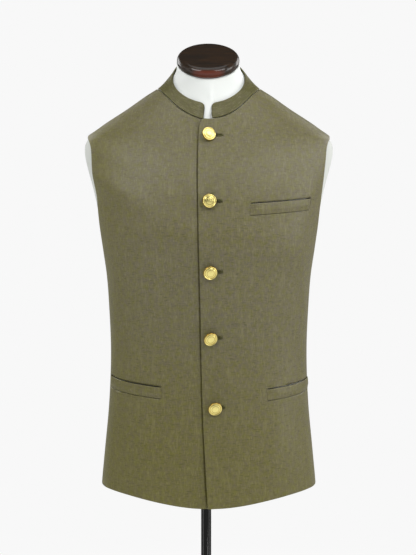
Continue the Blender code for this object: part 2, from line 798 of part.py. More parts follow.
def form_rings():
    """Level rings up to the shoulders, rings that close in on the neckline, and the neck."""
    angles = [signed(360 * i / FORM_SIDES) for i in range(FORM_SIDES)]
    rings = []
    for height in FORM_LEVELS:
        rings.append([form_point(angle, height) for angle in angles])
    for point in rings[0]:
        point.z = FORM_LEVELS[0]
    shoulder = FORM_LEVELS[-1]
    for i in range(1, FORM_SHOULDER_RINGS + 1):
        share = i / FORM_SHOULDER_RINGS
        ring = []
        for angle in angles:
            turn, height = neckline(abs(angle))
            turn = abs(angle) + (turn - abs(angle)) * share
            point = form_point(turn, shoulder + (height - shoulder) * share)
            ring.append(mirrored_to(angle, point))
        rings.append(ring)
    for share in NECK_COLLAR_SHARES:
        ring = []
        for angle in angles:
            point = collar_point(abs(angle), share, neck_depth(angle))
            ring.append(leaned(mirrored_to(angle, point)))
        rings.append(ring)
    for i in range(NECK_RINGS + 1):
        rings.append([leaned(neck_ring_point(angle, i / NECK_RINGS)) for angle in angles])
    return rings


def add_form(finish, collection):
    builder = bmesh.new()
    loft(builder, form_rings())
    return add_object("form_body", mesh_from(builder, "form_body"), finish, collection)


def add_cap(finish, collection):
    cap = add_turned("neck_cap", CAP_PROFILE, CAP_STEPS, finish, collection)
    cap.scale = (1.0, CAP_STRETCH, 1.0)
    cap.rotation_euler = (CAP_TILT, 0.0, 0.0)
    lift = SEAM_GAP / math.cos(CAP_TILT)
    height = NECK_TOP_HEIGHT + CAP_CENTRE_Y * NECK_TOP_LEAN + lift
    cap.location = leaned(Vector((0.0, CAP_CENTRE_Y, height)))
    return cap


def add_stand(finish, collection):
    """Round base, pole, and the flanged socket that carries the form on the pole."""
    bore = POLE_RADIUS + POLE_CLEARANCE
    boss = bore + BOSS_WALL
    base_profile = [
        (0.0, BASE_PLATE),
        (bore, BASE_PLATE),
        (bore, BASE_BOSS_HEIGHT),
        (boss - CHAMFER, BASE_BOSS_HEIGHT),
        (boss, BASE_BOSS_HEIGHT - CHAMFER),
        (boss + FILLET * 0.2, BASE_PLATE + FILLET * 0.6),
        (boss + FILLET, BASE_PLATE + CHAMFER),
        (BASE_RADIUS - FILLET, BASE_PLATE),
        (BASE_RADIUS - CHAMFER, BASE_PLATE - CHAMFER),
        (BASE_RADIUS, BASE_EDGE),
        (BASE_RADIUS - CHAMFER, 0.0),
        (0.0, 0.0),
    ]
    base = add_turned("base", base_profile, TURNED_STEPS, finish, collection)
    base.location.x = POLE_X

    socket_top = FORM_LEVELS[0] - SEAM_GAP
    socket_profile = [
        (0.0, socket_top),
        (SOCKET_FLANGE_RADIUS - CHAMFER, socket_top),
        (SOCKET_FLANGE_RADIUS, socket_top - SOCKET_FLANGE / 2),
        (boss + FILLET * 0.3, socket_top - SOCKET_FLANGE),
        (boss, socket_top - SOCKET_FLANGE - FILLET * 0.5),
        (boss, socket_top - SOCKET_LENGTH),
        (bore, socket_top - SOCKET_LENGTH),
        (bore, socket_top - SOCKET_FLANGE),
        (0.0, socket_top - SOCKET_FLANGE),
    ]
    socket = add_turned("pole_socket", socket_profile, TURNED_STEPS, finish, collection)
    socket.location.x = POLE_X

    bottom = BASE_PLATE + SEAM_GAP
    top = socket_top - SOCKET_FLANGE - SEAM_GAP
    bpy.ops.mesh.primitive_cylinder_add(
        vertices=TURNED_STEPS,
        radius=POLE_RADIUS,
        depth=top - bottom,
        location=(POLE_X, 0.0, (top + bottom) / 2),
    )
    pole = bpy.context.object
    pole.name = "pole"
    pole.data.name = "pole"
    for owner in list(pole.users_collection):
        owner.objects.unlink(pole)
    collection.objects.link(pole)
    pole.data.materials.append(finish)
    shade_round(pole.data)


def main():
    for old in list(bpy.data.objects):
        bpy.data.objects.remove(old, do_unlink=True)
    parts = bpy.data.collections.new(COLLECTION)
    cutters = bpy.data.collections.new("cutters")
    bpy.context.scene.collection.children.link(parts)
    bpy.context.scene.collection.children.link(cutters)

    cloth = material("olive_shot_cotton", (0.175, 0.160, 0.090), 0.85)
    brass = material("gilt_brass", (0.78, 0.60, 0.22), 0.25, metallic=1.0)
    jersey = material("white_form_jersey", (0.84, 0.86, 0.84), 0.75)
    wood = material("lacquered_wood", (0.030, 0.018, 0.012), 0.20)
    iron = material("black_enamelled_iron", (0.020, 0.019, 0.018), 0.25)

    left = add_panel("front_left", left_front_rows(), cloth_point, cloth, parts)
    buttonholes = left.modifiers.new("buttonholes", "BOOLEAN")
    buttonholes.operation = "DIFFERENCE"
    buttonholes.object = add_buttonhole_cutter(cutters)
    add_panel("front_right", right_front_rows(), right_front_point, cloth, parts)
    add_back(cloth, parts)
    add_collar(cloth, parts)
    for welt in WELTS:
        add_welt(welt, cloth, parts)
    add_buttons(brass, parts)
    add_form(jersey, parts)
    add_cap(wood, parts)
    add_stand(iron, parts)


main()
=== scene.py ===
# %% [markdown]
# # A nehru jacket on a dress form
#
# A nehru jacket is a sleeveless buttoned jacket with a stand collar. This one is cut from
# shot cotton, closes with five gilt buttons and has three welt pockets. It is shown on a
# limbless form with a wooden neck cap, on a pole and a round base.
#
# The lesson builds the cloth as thin walls on one body surface, cuts and sews the
# buttonholes, turns the hard pieces on a lathe, and then makes each finish from nodes. A
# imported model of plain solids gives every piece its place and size, so it is loaded first.

# %% Load the frame
import math
from functools import partial

import bmesh
import bpy
import numpy as np
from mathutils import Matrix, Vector


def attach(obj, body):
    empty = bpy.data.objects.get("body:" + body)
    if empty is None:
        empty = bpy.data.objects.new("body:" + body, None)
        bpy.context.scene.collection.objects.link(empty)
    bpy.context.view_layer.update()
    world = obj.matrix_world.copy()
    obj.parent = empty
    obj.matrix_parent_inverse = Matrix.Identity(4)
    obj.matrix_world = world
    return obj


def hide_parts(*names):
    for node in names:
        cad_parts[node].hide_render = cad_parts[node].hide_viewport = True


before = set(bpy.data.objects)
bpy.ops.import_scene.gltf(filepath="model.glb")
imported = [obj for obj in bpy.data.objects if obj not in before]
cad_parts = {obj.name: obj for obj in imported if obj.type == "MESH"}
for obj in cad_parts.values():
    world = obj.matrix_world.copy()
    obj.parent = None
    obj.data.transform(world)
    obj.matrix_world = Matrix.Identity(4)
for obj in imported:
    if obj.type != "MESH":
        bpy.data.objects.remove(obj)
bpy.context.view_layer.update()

# %% [markdown]
# ## Small helpers
#
# Colours are easiest to pick as sRGB hex values, but shaders work in linear light, so one
# function converts them. Another sets several settings of a thing at once, and a third
# fills a node's inputs. The last adds a node and gives back one of its outputs. Each
# material gets it bound to its own nodes, as `add`, which keeps the cells below short.

# %% Colour and node helpers
PRESETS = {  # kinds used with the same settings each time: node, settings and output
    "ColourMix": ("Mix", {"data_type": "RGBA"}, 2),  # inputs: 0 share, 6 first, 7 second
    "Ease": ("MapRange", {"interpolation_type": "SMOOTHSTEP"}, 0),  # 0 value, 1 low, 2 high
}


def linear(hex_colour):
    """sRGB hex to linear RGBA."""
    channels = []
    for i in (1, 3, 5):
        value = int(hex_colour[i : i + 2], 16) / 255
        channels.append(value / 12.92 if value <= 0.04045 else ((value + 0.055) / 1.055) ** 2.4)
    return (*channels, 1.0)


def set_all(thing, **settings):
    for name, value in settings.items():
        setattr(thing, name, value)
    return thing


def feed(node, inputs):
    """Fills a node's inputs: a socket is linked, a hex colour made linear, a number set."""
    for name, given in inputs.items():
        if isinstance(given, bpy.types.NodeSocket):
            node.id_data.links.new(given, node.inputs[name])
        else:
            node.inputs[name].default_value = linear(given) if isinstance(given, str) else given


def add_node(tree, kind, inputs, output=0, **settings):
    """Adds a shader node with its inputs and settings, and returns one of its outputs."""
    kind, fixed, output = PRESETS.get(kind, (kind, {}, output))
    node = set_all(tree.nodes.new("ShaderNode" + kind), **fixed, **settings)
    feed(node, inputs)
    return node.outputs[output]


def new_material(name):
    """A node material, its add, its Principled shader and the object's own coordinates."""
    made = set_all(bpy.data.materials.new(name), use_nodes=True)
    add = partial(add_node, made.node_tree)
    return made, add, made.node_tree.nodes["Principled BSDF"], add("TexCoord", {}, "Object")


# %% [markdown]
# ## Shot cotton
#
# Shot cotton is a plain weave with warp threads of one colour and weft threads of another.
# Here the warp is olive and the weft a grey brown, so the cloth looks olive where it turns
# away from the light and greyer where it catches it. Cotton yarn is never even: thicker
# stretches, called slubs, run along it and show as faint streaks, and where the thicker
# weft covers more, its own colour shows, so the cloth looks heathered. Low down and at the
# wearer's right side its colour is painted more olive and less blue: painted shade, where
# less light falls. Towards its upper left it keeps its plain colour.
#
# The pattern needs to follow the cut of each panel, so it reads a UV map in metres that the
# panels get further down: U runs round the body and V up it. A real thread is about 0.3 mm.
# The one drawn here is 0.6 mm, as coarse as it needs to be to show when looked at closely.

# %% The cotton's material
THREAD = 0.0006
HEATHER = (330.0, 110.0)  # blotches a metre: a few thick threads over 3 mm, and broader ones
SLUBS = (  # scale round the body, scale up it and seed: warp slubs, weft slubs, broad streaks
    (620.0, 120.0, 3.1),
    (120.0, 680.0, 8.7),
    (230.0, 34.0, 5.3),
)
TOWARD_PAINTED_LIGHT = (0.45, 0.0, 0.9)
PAINTED_SHADE_RISE = (0.18, 0.62)  # metres toward the painted light: all painted shade below, none above
PAINTED_SHADE_SIDE = (-0.260, -0.085)  # metres to the wearer's left of the middle: the same
COTTON_IOR = 1.47


def woven_cotton(name, warp, weft, across=False):
    """Plain weave. across turns the cloth a quarter, as where a band is cut on the cross grain."""
    made, add, shader, place = new_material(name)
    threads = add("UVMap", {}, uv_map="threads")
    round_body, up_body = add("SeparateXYZ", {0: threads}).node.outputs[:2]
    if across:
        round_body, up_body = up_body, round_body

    # A sine of the distance gives each thread's round back: 0 in the gap, 1 on its middle.
    backs = []
    for distance in (round_body, up_body):
        back = add("Math", {0: distance, 1: math.pi / THREAD}, operation="MULTIPLY")
        for operation in ("SINE", "ABSOLUTE"):
            back = add("Math", {0: back}, operation=operation)
        backs.append(back)
    over = add("TexChecker", {"Vector": threads, "Scale": 1 / THREAD}, "Fac")

    # Slubs are noise stretched along the threads, and heather is noise that isn't.
    noises = [(threads, scale, 3.0) for scale in HEATHER]
    for round_scale, up_scale, seed in SLUBS:
        x = add("Math", {0: round_body, 1: round_scale}, operation="MULTIPLY")
        y = add("Math", {0: up_body, 1: up_scale}, operation="MULTIPLY")
        noises.append((add("CombineXYZ", {0: x, 1: y, 2: seed}), 1.0, 2.0))
    tints = [(0.30, 0.74, weft), (0.30, 0.80, warp)]
    tints += [(0.46, 0.86, "#827C5C"), (0.46, 0.90, "#47431F"), (0.48, 0.98, "#7C7655")]
    streaks = []
    colour = add("ColourMix", {0: over, 6: weft, 7: warp})
    for (at, scale, detail), (low, high, tint) in zip(noises, tints):
        noise = {"Vector": at, "Scale": scale, "Detail": detail, "Roughness": 0.6}
        streaks.append(add("TexNoise", noise, "Fac"))
        share = add("Ease", {0: streaks[-1], 1: low, 2: high})
        colour = add("ColourMix", {0: share, 6: colour, 7: tint})

    # Painted shade: low down and at the wearer's right side the colour is tinted more olive and less
    # blue, where less light falls.
    rise = add("VectorMath", {0: place, 1: TOWARD_PAINTED_LIGHT}, "Value", operation="DOT_PRODUCT")
    painted_light_share = 1.0
    for at, (low, high) in ((rise, PAINTED_SHADE_RISE), (add("SeparateXYZ", {0: place}), PAINTED_SHADE_SIDE)):
        ramp = add("Ease", {0: at, 1: low, 2: high})
        painted_light_share = add("Math", {0: ramp, 1: painted_light_share}, operation="MULTIPLY")
    painted_shade_colour = add("ColourMix", {0: 1.0, 6: colour, 7: "#FFFFC9"}, blend_type="MULTIPLY")

    weave = add("Mix", {0: over, 2: backs[1], 3: backs[0]}, data_type="FLOAT")
    bump = add("Bump", {"Height": weave, "Strength": 0.35, "Distance": 0.00012})
    slubs = {"Height": streaks[2], "Normal": bump, "Strength": 0.5, "Distance": 0.0002}
    feed(shader, {
        "Base Color": add("ColourMix", {0: painted_light_share, 6: painted_shade_colour, 7: colour}),
        "Normal": add("Bump", slubs),
        "Roughness": 0.42,
        "IOR": COTTON_IOR,
        "Specular IOR Level": 0.45,
        "Sheen Weight": 0.02,
        "Sheen Roughness": 0.5,
        "Sheen Tint": "#B9B2A0",
    })
    return made


body_cotton = woven_cotton("shot cotton, olive warp and grey brown weft", "#696630", "#655D54")
collar_cotton = woven_cotton("shot cotton, cut across the grain", "#55541F", "#504A31", across=True)
print("cotton thread drawn at", THREAD * 1000, "mm")

# %% [markdown]
# Buttonhole twist is a thick cotton thread, and its twist shows as slanting ridges. The grooves between
# them are coloured darker: painted shade.

# %% Buttonhole twist
TWIST_RIDGES = 900.0

buttonhole_twist, add, shader, place = new_material("cotton buttonhole twist, olive")
wave = {"Vector": place, "Scale": TWIST_RIDGES, "Distortion": 1.0}
ridges = add("TexWave", wave, "Fac", wave_type="BANDS", bands_direction="DIAGONAL")
# Painted shade: the dark colour fills the grooves between the ridges.
feed(shader, {
    "Base Color": add("ColourMix", {0: ridges, 6: "#2B2813", 7: "#65622E"}),
    "Normal": add("Bump", {"Height": ridges, "Strength": 0.4, "Distance": 0.0001}),
    "Roughness": 0.6,
})
print(buttonhole_twist.name)

# %% [markdown]
# The buttons are stamped from brass, plated and polished. What stands up stays bright, and
# the hollows of the stamping stay darker and a little redder. The rim, where it turns down,
# is painted dark too: painted shade. The finish reads how proud each place stands, and the
# painted shade of the rim, from a UV map named relief. Brass is a metal, so its IOR stays as it is.

# %% Gilt brass
brass, add, shader, place = new_material("gilt brass, stamped and polished")
proud = add("SeparateXYZ", {0: add("UVMap", {}, uv_map="relief")})
# The relief map holds how proud each place is, and the painted shade of the turned-down rim.
raised_and_rim_shade = add("Ease", {0: proud, 2: 0.8})
gold = add("ColourMix", {0: raised_and_rim_shade, 6: "#8F6A1C", 7: "#F4E693"})
tarnish = add("TexNoise", {"Vector": place, "Scale": 500.0, "Detail": 4.0}, "Fac")
worn = add("Ease", {0: tarnish, 1: 0.45, 2: 0.8, "To Max": 0.5})
feed(shader, {
    "Base Color": add("ColourMix", {0: worn, 6: gold, 7: "#E8CE72"}),
    "Roughness": add("MapRange", {0: tarnish, "To Min": 0.26, "To Max": 0.38}),
    "Normal": add("Bump", {"Height": tarnish, "Strength": 0.15, "Distance": 0.0001}),
    "Metallic": 1.0,
})
print(brass.name)

# %% [markdown]
# Jersey is the knitted cover of the form: white, matt and finely ribbed. Out at its sides,
# in the armholes, it is painted grey: painted shade.

# %% Jersey
WALES = 320.0  # ribs of the knitting in each radian about the form
PAINTED_SHADE_SIDES = {1: 0.150, 2: 0.190}  # metres from the middle: still white, and painted grey all over

jersey, add, shader, place = new_material("cotton jersey, white")
x, y = add("SeparateXYZ", {0: place}).node.outputs[:2]
angle = add("Math", {0: y, 1: x}, operation="ARCTAN2")
wales = add("Math", {0: angle, 1: WALES}, operation="MULTIPLY")
ribs = add("Math", {0: wales}, operation="SINE")
cloud = add("TexNoise", {"Vector": place, "Scale": 14.0, "Detail": 3.0}, "Fac")
cloudy = add("Ease", {0: cloud, 1: 0.35, 2: 0.75})
white = add("ColourMix", {0: cloudy, 6: "#F1F4F1", 7: "#EBEFEB"})
aside = add("Math", {0: x}, operation="ABSOLUTE")
# Painted shade: out at the sides the white turns grey.
painted_shade_share = add("Ease", {0: aside, **PAINTED_SHADE_SIDES})
feed(shader, {
    "Base Color": add("ColourMix", {0: painted_shade_share, 6: white, 7: "#CBCEC8"}),
    "Normal": add("Bump", {"Height": ribs, "Strength": 0.12, "Distance": 0.0002}),
    "Roughness": 0.8,
    "Sheen Weight": 0.15,
})
print(jersey.name)

# %% [markdown]
# The neck cap is beech, stained nearly black, and the coat of lacquer gives the gloss. At the
# front of its rim a red brown is painted in: a painted warm reflection.

# %% Lacquered beech
PAINTED_REFLECTION_FRONT = {1: -0.042, 2: -0.051}  # how far forward the painted reflection starts, and is full
PAINTED_REFLECTION_SIDE = {1: 0.0475, 2: 0.0520}  # the same, outwards from the cap's axis

beech, add, shader, place = new_material("beech, stained dark and lacquered")
along_grain = add("Mapping", {"Vector": place, "Scale": (18.0, 190.0, 60.0)})
noise = {"Vector": along_grain, "Scale": 1.0, "Detail": 6.0, "Roughness": 0.65, "Distortion": 0.6}
grain = add("TexNoise", noise, "Fac")
dark = add("Ease", {0: grain, 1: 0.35, 2: 0.7})
wood = add("ColourMix", {0: dark, 6: "#19120A", 7: "#33210F"})
# Painted reflection: a warm red brown on the front of the rim.
painted_reflection_red = add("ColourMix", {0: grain, 6: "#4A1F12", 7: "#6E2F1B"})
level = add("VectorMath", {0: place, 1: (1.0, 1.0, 0.0)}, operation="MULTIPLY")
from_axis = add("VectorMath", {0: level}, "Value", operation="LENGTH")
forward = add("SeparateXYZ", {0: place}, "Y")
in_front = add("Ease", {0: forward, **PAINTED_REFLECTION_FRONT})
at_side = add("Ease", {0: from_axis, **PAINTED_REFLECTION_SIDE})
painted_reflection_share = add("Math", {0: in_front, 1: at_side}, operation="MULTIPLY")
feed(shader, {
    "Base Color": add("ColourMix", {0: painted_reflection_share, 6: wood, 7: painted_reflection_red}),
    "Roughness": 0.45,
    "Specular IOR Level": 0.2,
    "Coat Weight": 0.45,
    "Coat Roughness": 0.07,
})
print(beech.name)

# %% [markdown]
# The stand is enamelled steel: smooth, black and glossy, with the slight ripple of a coat
# that was dipped.

# %% Black enamel
enamel, add, shader, place = new_material("steel, black enamel")
ripple = add("TexNoise", {"Vector": place, "Scale": 60.0, "Detail": 2.0}, "Fac")
feed(shader, {
    "Base Color": add("ColourMix", {0: ripple, 6: "#0C0B0B", 7: "#131210"}),
    "Normal": add("Bump", {"Height": ripple, "Strength": 0.08, "Distance": 0.0004}),
    "Roughness": 0.14,
    "Specular IOR Level": 0.15,
})
print(enamel.name)

# %% [markdown]
# ## The body surface
#
# Every panel of the jacket lies on one smooth surface. It is described by level sections:
# at each height, how wide the body is, how deep in front and behind, and how squared off
# the oval is. A smooth curve joins the sections. A place on it is a *turn* about the body
# (0 in front, 90 at the wearer's left side, 180 behind) and a *height*.
#
# NumPy works out a whole grid of places at once, which is far quicker than a Python loop.

# %% Sections and smooth curves
SECTIONS = np.array(
    [  # height, half width, front depth, back depth, squareness
        (0.300, 0.1850, 0.1290, 0.1270, 2.30),
        (0.330, 0.1832, 0.1280, 0.1260, 2.30),
        (0.379, 0.1785, 0.1260, 0.1230, 2.30),
        (0.465, 0.1705, 0.1175, 0.1135, 2.25),
        (0.551, 0.1673, 0.1120, 0.1050, 2.20),  # waist
        (0.636, 0.1703, 0.1220, 0.1120, 2.25),
        (0.687, 0.1742, 0.1285, 0.1170, 2.30),  # underarm
        (0.721, 0.1798, 0.1315, 0.1200, 2.35),
        (0.758, 0.1862, 0.1320, 0.1220, 2.40),  # chest
        (0.808, 0.1945, 0.1260, 0.1220, 2.40),
        (0.841, 0.2033, 0.1175, 0.1200, 2.35),
        (0.875, 0.2122, 0.1045, 0.1145, 2.30),
        (0.892, 0.2142, 0.0965, 0.1100, 2.25),
        (0.909, 0.2115, 0.0865, 0.1045, 2.20),
        (0.9175, 0.2030, 0.0810, 0.1010, 2.20),  # shoulder point
        (0.926, 0.1908, 0.0757, 0.0970, 2.15),
        (0.939, 0.1725, 0.0690, 0.0905, 2.10),
        (0.961, 0.1385, 0.0595, 0.0790, 2.10),
        (0.983, 0.1070, 0.0510, 0.0665, 2.10),
        (0.995, 0.0880, 0.0465, 0.0595, 2.10),  # neck point
        (1.013, 0.0620, 0.0410, 0.0500, 2.10),
        (1.040, 0.0450, 0.0370, 0.0415, 2.10),
    ]
)


def smooth_through(table, column, x):
    """A column of the table, as a smooth curve through its rows, read at x in column 0."""
    xs, ys = table[:, 0], table[:, column]
    x = np.clip(x, xs[0], xs[-1])
    i = np.clip(np.searchsorted(xs, x, side="right") - 1, 0, len(xs) - 2)
    rows = np.arange(len(xs))
    before, after = np.maximum(rows - 1, 0), np.minimum(rows + 1, len(xs) - 1)
    slopes = (ys[after] - ys[before]) / (xs[after] - xs[before])
    run = xs[i + 1] - xs[i]
    t = (x - xs[i]) / run
    return (
        (2 * t**3 - 3 * t**2 + 1) * ys[i]
        + (t**3 - 2 * t**2 + t) * slopes[i] * run
        + (3 * t**2 - 2 * t**3) * ys[i + 1]
        + (t**3 - t**2) * slopes[i + 1] * run
    )


def size_at(height):
    """Half width, front depth, back depth and squareness of the body at each height."""
    return [smooth_through(SECTIONS, column, height) for column in (1, 2, 3, 4)]


def oval(turn, half_width, front, back, squareness):
    """(x, y) on a squared-off oval with its own depth in front and behind."""
    side = np.sin(np.radians(turn))
    reach = np.maximum(1 - np.abs(side) ** squareness, 0.0) ** (1 / squareness)
    depth = np.where(np.cos(np.radians(turn)) >= 0, -front, back)
    return half_width * side, depth * reach


def ease(t):
    """0 before 0, 1 after 1, and a smooth rise between."""
    t = np.clip(t, 0.0, 1.0)
    return t * t * (3 - 2 * t)


def unit(vectors):
    return vectors / np.linalg.norm(vectors, axis=-1, keepdims=True)


def body_point(turn, height):
    turn, height = np.broadcast_arrays(turn, height)
    x, y = oval(turn, *size_at(height))
    return np.stack([x, y, height], axis=-1)


def outward(turn, height):
    """The body surface's normal, from the places on either side."""
    around = body_point(turn + 0.5, height) - body_point(turn - 0.5, height)
    up = body_point(turn, height + 0.0005) - body_point(turn, height - 0.0005)
    return unit(np.cross(around, up))


print("chest", round(float(size_at(0.758)[0]) * 2000), "mm wide")

# %% [markdown]
# ## Folds
#
# A fitted jacket on a form hangs almost smooth. What breaks it are a few soft hollows and
# ridges: below the armholes, where the chest runs into the side, at the waist, and along
# the skirt, where the cloth hangs free of the form. Each is a row of a short table: where
# its middle lies, how long and wide it is, how it leans, and how far it lifts the cloth.

# %% The table of folds
FOLDS = [  # turn, height, half length, half width, lean in degrees, lift; lengths in metres
    (-52, 0.830, 0.055, 0.021, -60, 0.0046),
    (-60, 0.796, 0.050, 0.020, -60, -0.0022),
    (-20, 0.756, 0.075, 0.034, -66, 0.0044),
    (27, 0.736, 0.080, 0.031, -82, 0.0042),
    (32, 0.694, 0.045, 0.022, -82, -0.0018),
    (6, 0.626, 0.030, 0.017, -60, 0.0028),
    (10, 0.508, 0.036, 0.014, -28, 0.0024),
    (-50, 0.742, 0.055, 0.018, 24, 0.0010),
    (66, 0.770, 0.050, 0.018, -10, -0.0016),
    (52, 0.735, 0.055, 0.018, -24, 0.0008),
    (-70, 0.600, 0.060, 0.016, 14, 0.0012),
    (-60, 0.560, 0.070, 0.018, 30, -0.0009),
    (72, 0.605, 0.060, 0.016, -16, 0.0012),
    (58, 0.555, 0.070, 0.018, -32, -0.0009),
    (-36, 0.395, 0.080, 0.022, -6, 0.0022),
    (-58, 0.385, 0.075, 0.020, 5, -0.0014),
    (40, 0.392, 0.080, 0.022, 5, 0.0020),
    (62, 0.380, 0.075, 0.020, -4, -0.0014),
    (128, 0.400, 0.090, 0.024, 4, 0.0022),
    (160, 0.410, 0.090, 0.022, -3, -0.0012),
    (-132, 0.400, 0.090, 0.024, -5, 0.0024),
    (-164, 0.405, 0.090, 0.022, 4, -0.0012),
    (140, 0.600, 0.070, 0.018, 24, 0.0011),
    (-142, 0.605, 0.070, 0.018, -22, 0.0011),
    (118, 0.740, 0.060, 0.018, 18, 0.0010),
    (-118, 0.745, 0.060, 0.018, -20, 0.0010),
    (165, 0.880, 0.050, 0.016, 60, 0.0009),
    (-165, 0.878, 0.050, 0.016, -60, 0.0009),
]
MEAN_RADIUS = 0.155  # turns a turn into a distance, near enough for a fold's width


def fold_lift(turn, height):
    """How far the folds lift the cloth off the body surface at each place."""
    lift = np.zeros(np.broadcast(turn, height).shape)
    for fold_turn, fold_height, length, width, lean, amount in FOLDS:
        away = (turn - fold_turn + 180) % 360 - 180
        sideways = np.radians(away) * MEAN_RADIUS
        upwards = height - fold_height
        c, s = math.cos(math.radians(lean)), math.sin(math.radians(lean))
        across = sideways * c - upwards * s
        along = sideways * s + upwards * c
        lift += amount * np.exp(-((across / width) ** 2) - (along / length) ** 2)
    return lift


def cloth_point(turn, height, depth=0.0):
    """A place in the cloth, at a depth inwards from its face."""
    inwards = np.asarray(depth) - fold_lift(turn, height)
    return body_point(turn, height) - outward(turn, height) * inwards[..., None]


print("folds:", len(FOLDS))

# %% [markdown]
# ## Where the panels end
#
# The cutter's lines come next: the hem, the armhole, the front edge that laps over, and the
# neckline. The neckline is found by halving: at each angle about the neck, the height is
# searched for at which the body surface lies right under it.

# %% Hem, armhole, front edge and neckline
CLOTH = 0.0020  # wall of shell and facing together
SEAM_GAP = 0.0003
LAP_DEPTH = CLOTH + 0.0016  # the right front lies this much deeper where it is covered
HEM_HEIGHT = 0.325
FRONT_HEM_DIP = 0.0190
HEM_DIP_POWER = 5

ARMHOLE = np.array(
    [  # step, height, turn in front, turn behind
        (0, 0.6910, 90.0, 90.0),  # underarm
        (1, 0.6935, 85.8, 85.0),
        (2, 0.7020, 83.0, 81.0),
        (3, 0.7180, 80.8, 78.3),
        (4, 0.7410, 78.9, 76.6),
        (5, 0.7710, 77.2, 75.6),
        (6, 0.8080, 74.4, 74.6),
        (7, 0.8410, 69.9, 73.2),
        (8, 0.8710, 66.8, 72.4),
        (9, 0.8910, 66.4, 73.0),
        (10, 0.9050, 70.0, 76.5),
        (11, 0.9130, 78.0, 82.5),
        (12, 0.9175, 90.0, 90.0),  # shoulder point
    ]
)
UNDERARM = ARMHOLE[0, 1]
IN_FRONT, BEHIND = 2, 3

LAP_EDGE = np.array(
    [  # height, x of the left front's edge, which lies on top
        (0.300, -0.0010),
        (0.372, -0.0053),
        (0.469, -0.0100),
        (0.648, -0.0139),
        (0.842, -0.0177),
        (0.915, -0.0170),
    ]
)
LAP_CORNER_HEIGHT = 0.915
LAP_TOP_X = -0.0090
UNDERLAP_WIDTH = 0.0365
UNDERLAP_DROP = 0.0020  # how much lower the covered neckline is
UNDERLAP_BLEND = 0.010
LAP_SLOPE = 0.011  # the right front sinks gently over this width, outside the edge
LAP_DROP_START = 0.0032  # and steeply over this one
LAP_GENTLE_SHARE = 0.4

NECK_HALF_WIDTH = 0.0875
NECK_FRONT = 0.0675
NECK_BACK = 0.0460
NECK_SQUARENESS = 2.07


def turn_of_x(x, height):
    return np.degrees(np.arcsin(x / size_at(height)[0]))


def lap_x(height):
    return smooth_through(LAP_EDGE, 1, height)


def front_hem(turn):
    return HEM_HEIGHT - FRONT_HEM_DIP * np.cos(np.radians(turn)) ** HEM_DIP_POWER


def seam_turn(height, behind=False):
    """The turn at a side or shoulder seam, half a seam's gap short of the side."""
    _, front, back, squareness = size_at(height)
    share = SEAM_GAP / 2 / (back if behind else front)
    turn = np.degrees(np.arcsin((1 - share**squareness) ** (1 / squareness)))
    return 180 - turn if behind else turn


def step_down(x, height):
    """How much deeper the right front lies near and under the left one's edge.
    It sinks gently towards the edge and then drops under it, which leaves a dark line."""
    to_edge = lap_x(height) - x
    gentle = ease(1 - (to_edge - LAP_DROP_START) / LAP_SLOPE)
    steep = ease(1 - to_edge / LAP_DROP_START)
    return LAP_DEPTH * (LAP_GENTLE_SHARE * gentle + (1 - LAP_GENTLE_SHARE) * steep)


def neckline(angle):
    """Turn and height on the body surface at each angle about the neck, 0 in front."""
    angle = np.asarray(angle, float)
    x, y = oval(angle, NECK_HALF_WIDTH, NECK_FRONT, NECK_BACK, NECK_SQUARENESS)
    low = np.full(angle.shape, SECTIONS[0, 0])
    high = np.full(angle.shape, SECTIONS[-1, 0])
    for _ in range(40):
        height = (low + high) / 2
        half_width, front, back, squareness = size_at(height)
        depth = np.where(y < 0, front, back)
        inside = np.abs(x / half_width) ** squareness + np.abs(y / depth) ** squareness < 1
        low = np.where(inside, height, low)
        high = np.where(inside, high, height)
    turn = np.degrees(np.arcsin(np.clip(x / size_at(height)[0], -1, 1)))
    return np.where(np.abs(angle) > 90, 180 - turn, turn), height


def neck_angle_of_x(x):
    return math.degrees(math.asin(x / NECK_HALF_WIDTH))


def armhole_place(share, column):
    """Turn and height at each share of the armhole, from the underarm to the shoulder."""
    step = np.asarray(share) * ARMHOLE[-1, 0]
    return smooth_through(ARMHOLE, column, step), smooth_through(ARMHOLE, 1, step)


print("neckline meets the shoulder at", round(float(neckline(90.0)[1]), 3), "m")

# %% [markdown]
# ## Panels as grids
#
# A panel is a grid of places. Its rows start at the front edge (or the middle of the back)
# and end at the side seam, the armhole and the shoulder. Below the underarm the rows turn
# from the hem's curve to a level line, and above it they fan out.
#
# The rows are worked out for the wearer's left, and the right front is their mirror image
# with an edge of its own.

# %% Grids of the three panels
BODY_ROWS = 84
CHEST_ROWS = 52
CORNER_ROWS = 8
NECK_ROWS = 26
UPPER_ROWS = np.arange(CHEST_ROWS + CORNER_ROWS) / (CHEST_ROWS + CORNER_ROWS)
EVEN_COLUMNS = np.linspace(0, 1, 69)
LAP_SHARE = 0.235  # closer columns in this share of the right front follow its step down
LAP_COLUMNS = np.concatenate([np.linspace(0, LAP_SHARE, 50)[:-1], np.linspace(LAP_SHARE, 1, 54)])
FRONT_CHEST_SHARE = 0.60  # of the armhole, below the rows that start at the neckline
BACK_CHEST_SHARE = 0.66
RIGHT_NECK_X = -float(lap_x(LAP_CORNER_HEIGHT)) - UNDERLAP_WIDTH


def rows_below_underarm(front_edge, side_edge, hem, shares):
    rise = (np.arange(BODY_ROWS) / BODY_ROWS)[:, None]
    level = HEM_HEIGHT + (UNDERARM - HEM_HEIGHT) * rise
    turn = front_edge(level) + (side_edge(level) - front_edge(level)) * shares
    height = hem(turn) + (UNDERARM - hem(turn)) * rise
    return front_edge(height) + (side_edge(height) - front_edge(height)) * shares, height


def fan_out(start, end, shares):
    """Rows of places, as turns and heights, that run straight from each start to its end."""
    return [a[:, None] + (b - a)[:, None] * shares for a, b in zip(start, end)]


def left_edge(height):
    return turn_of_x(lap_x(height), height)


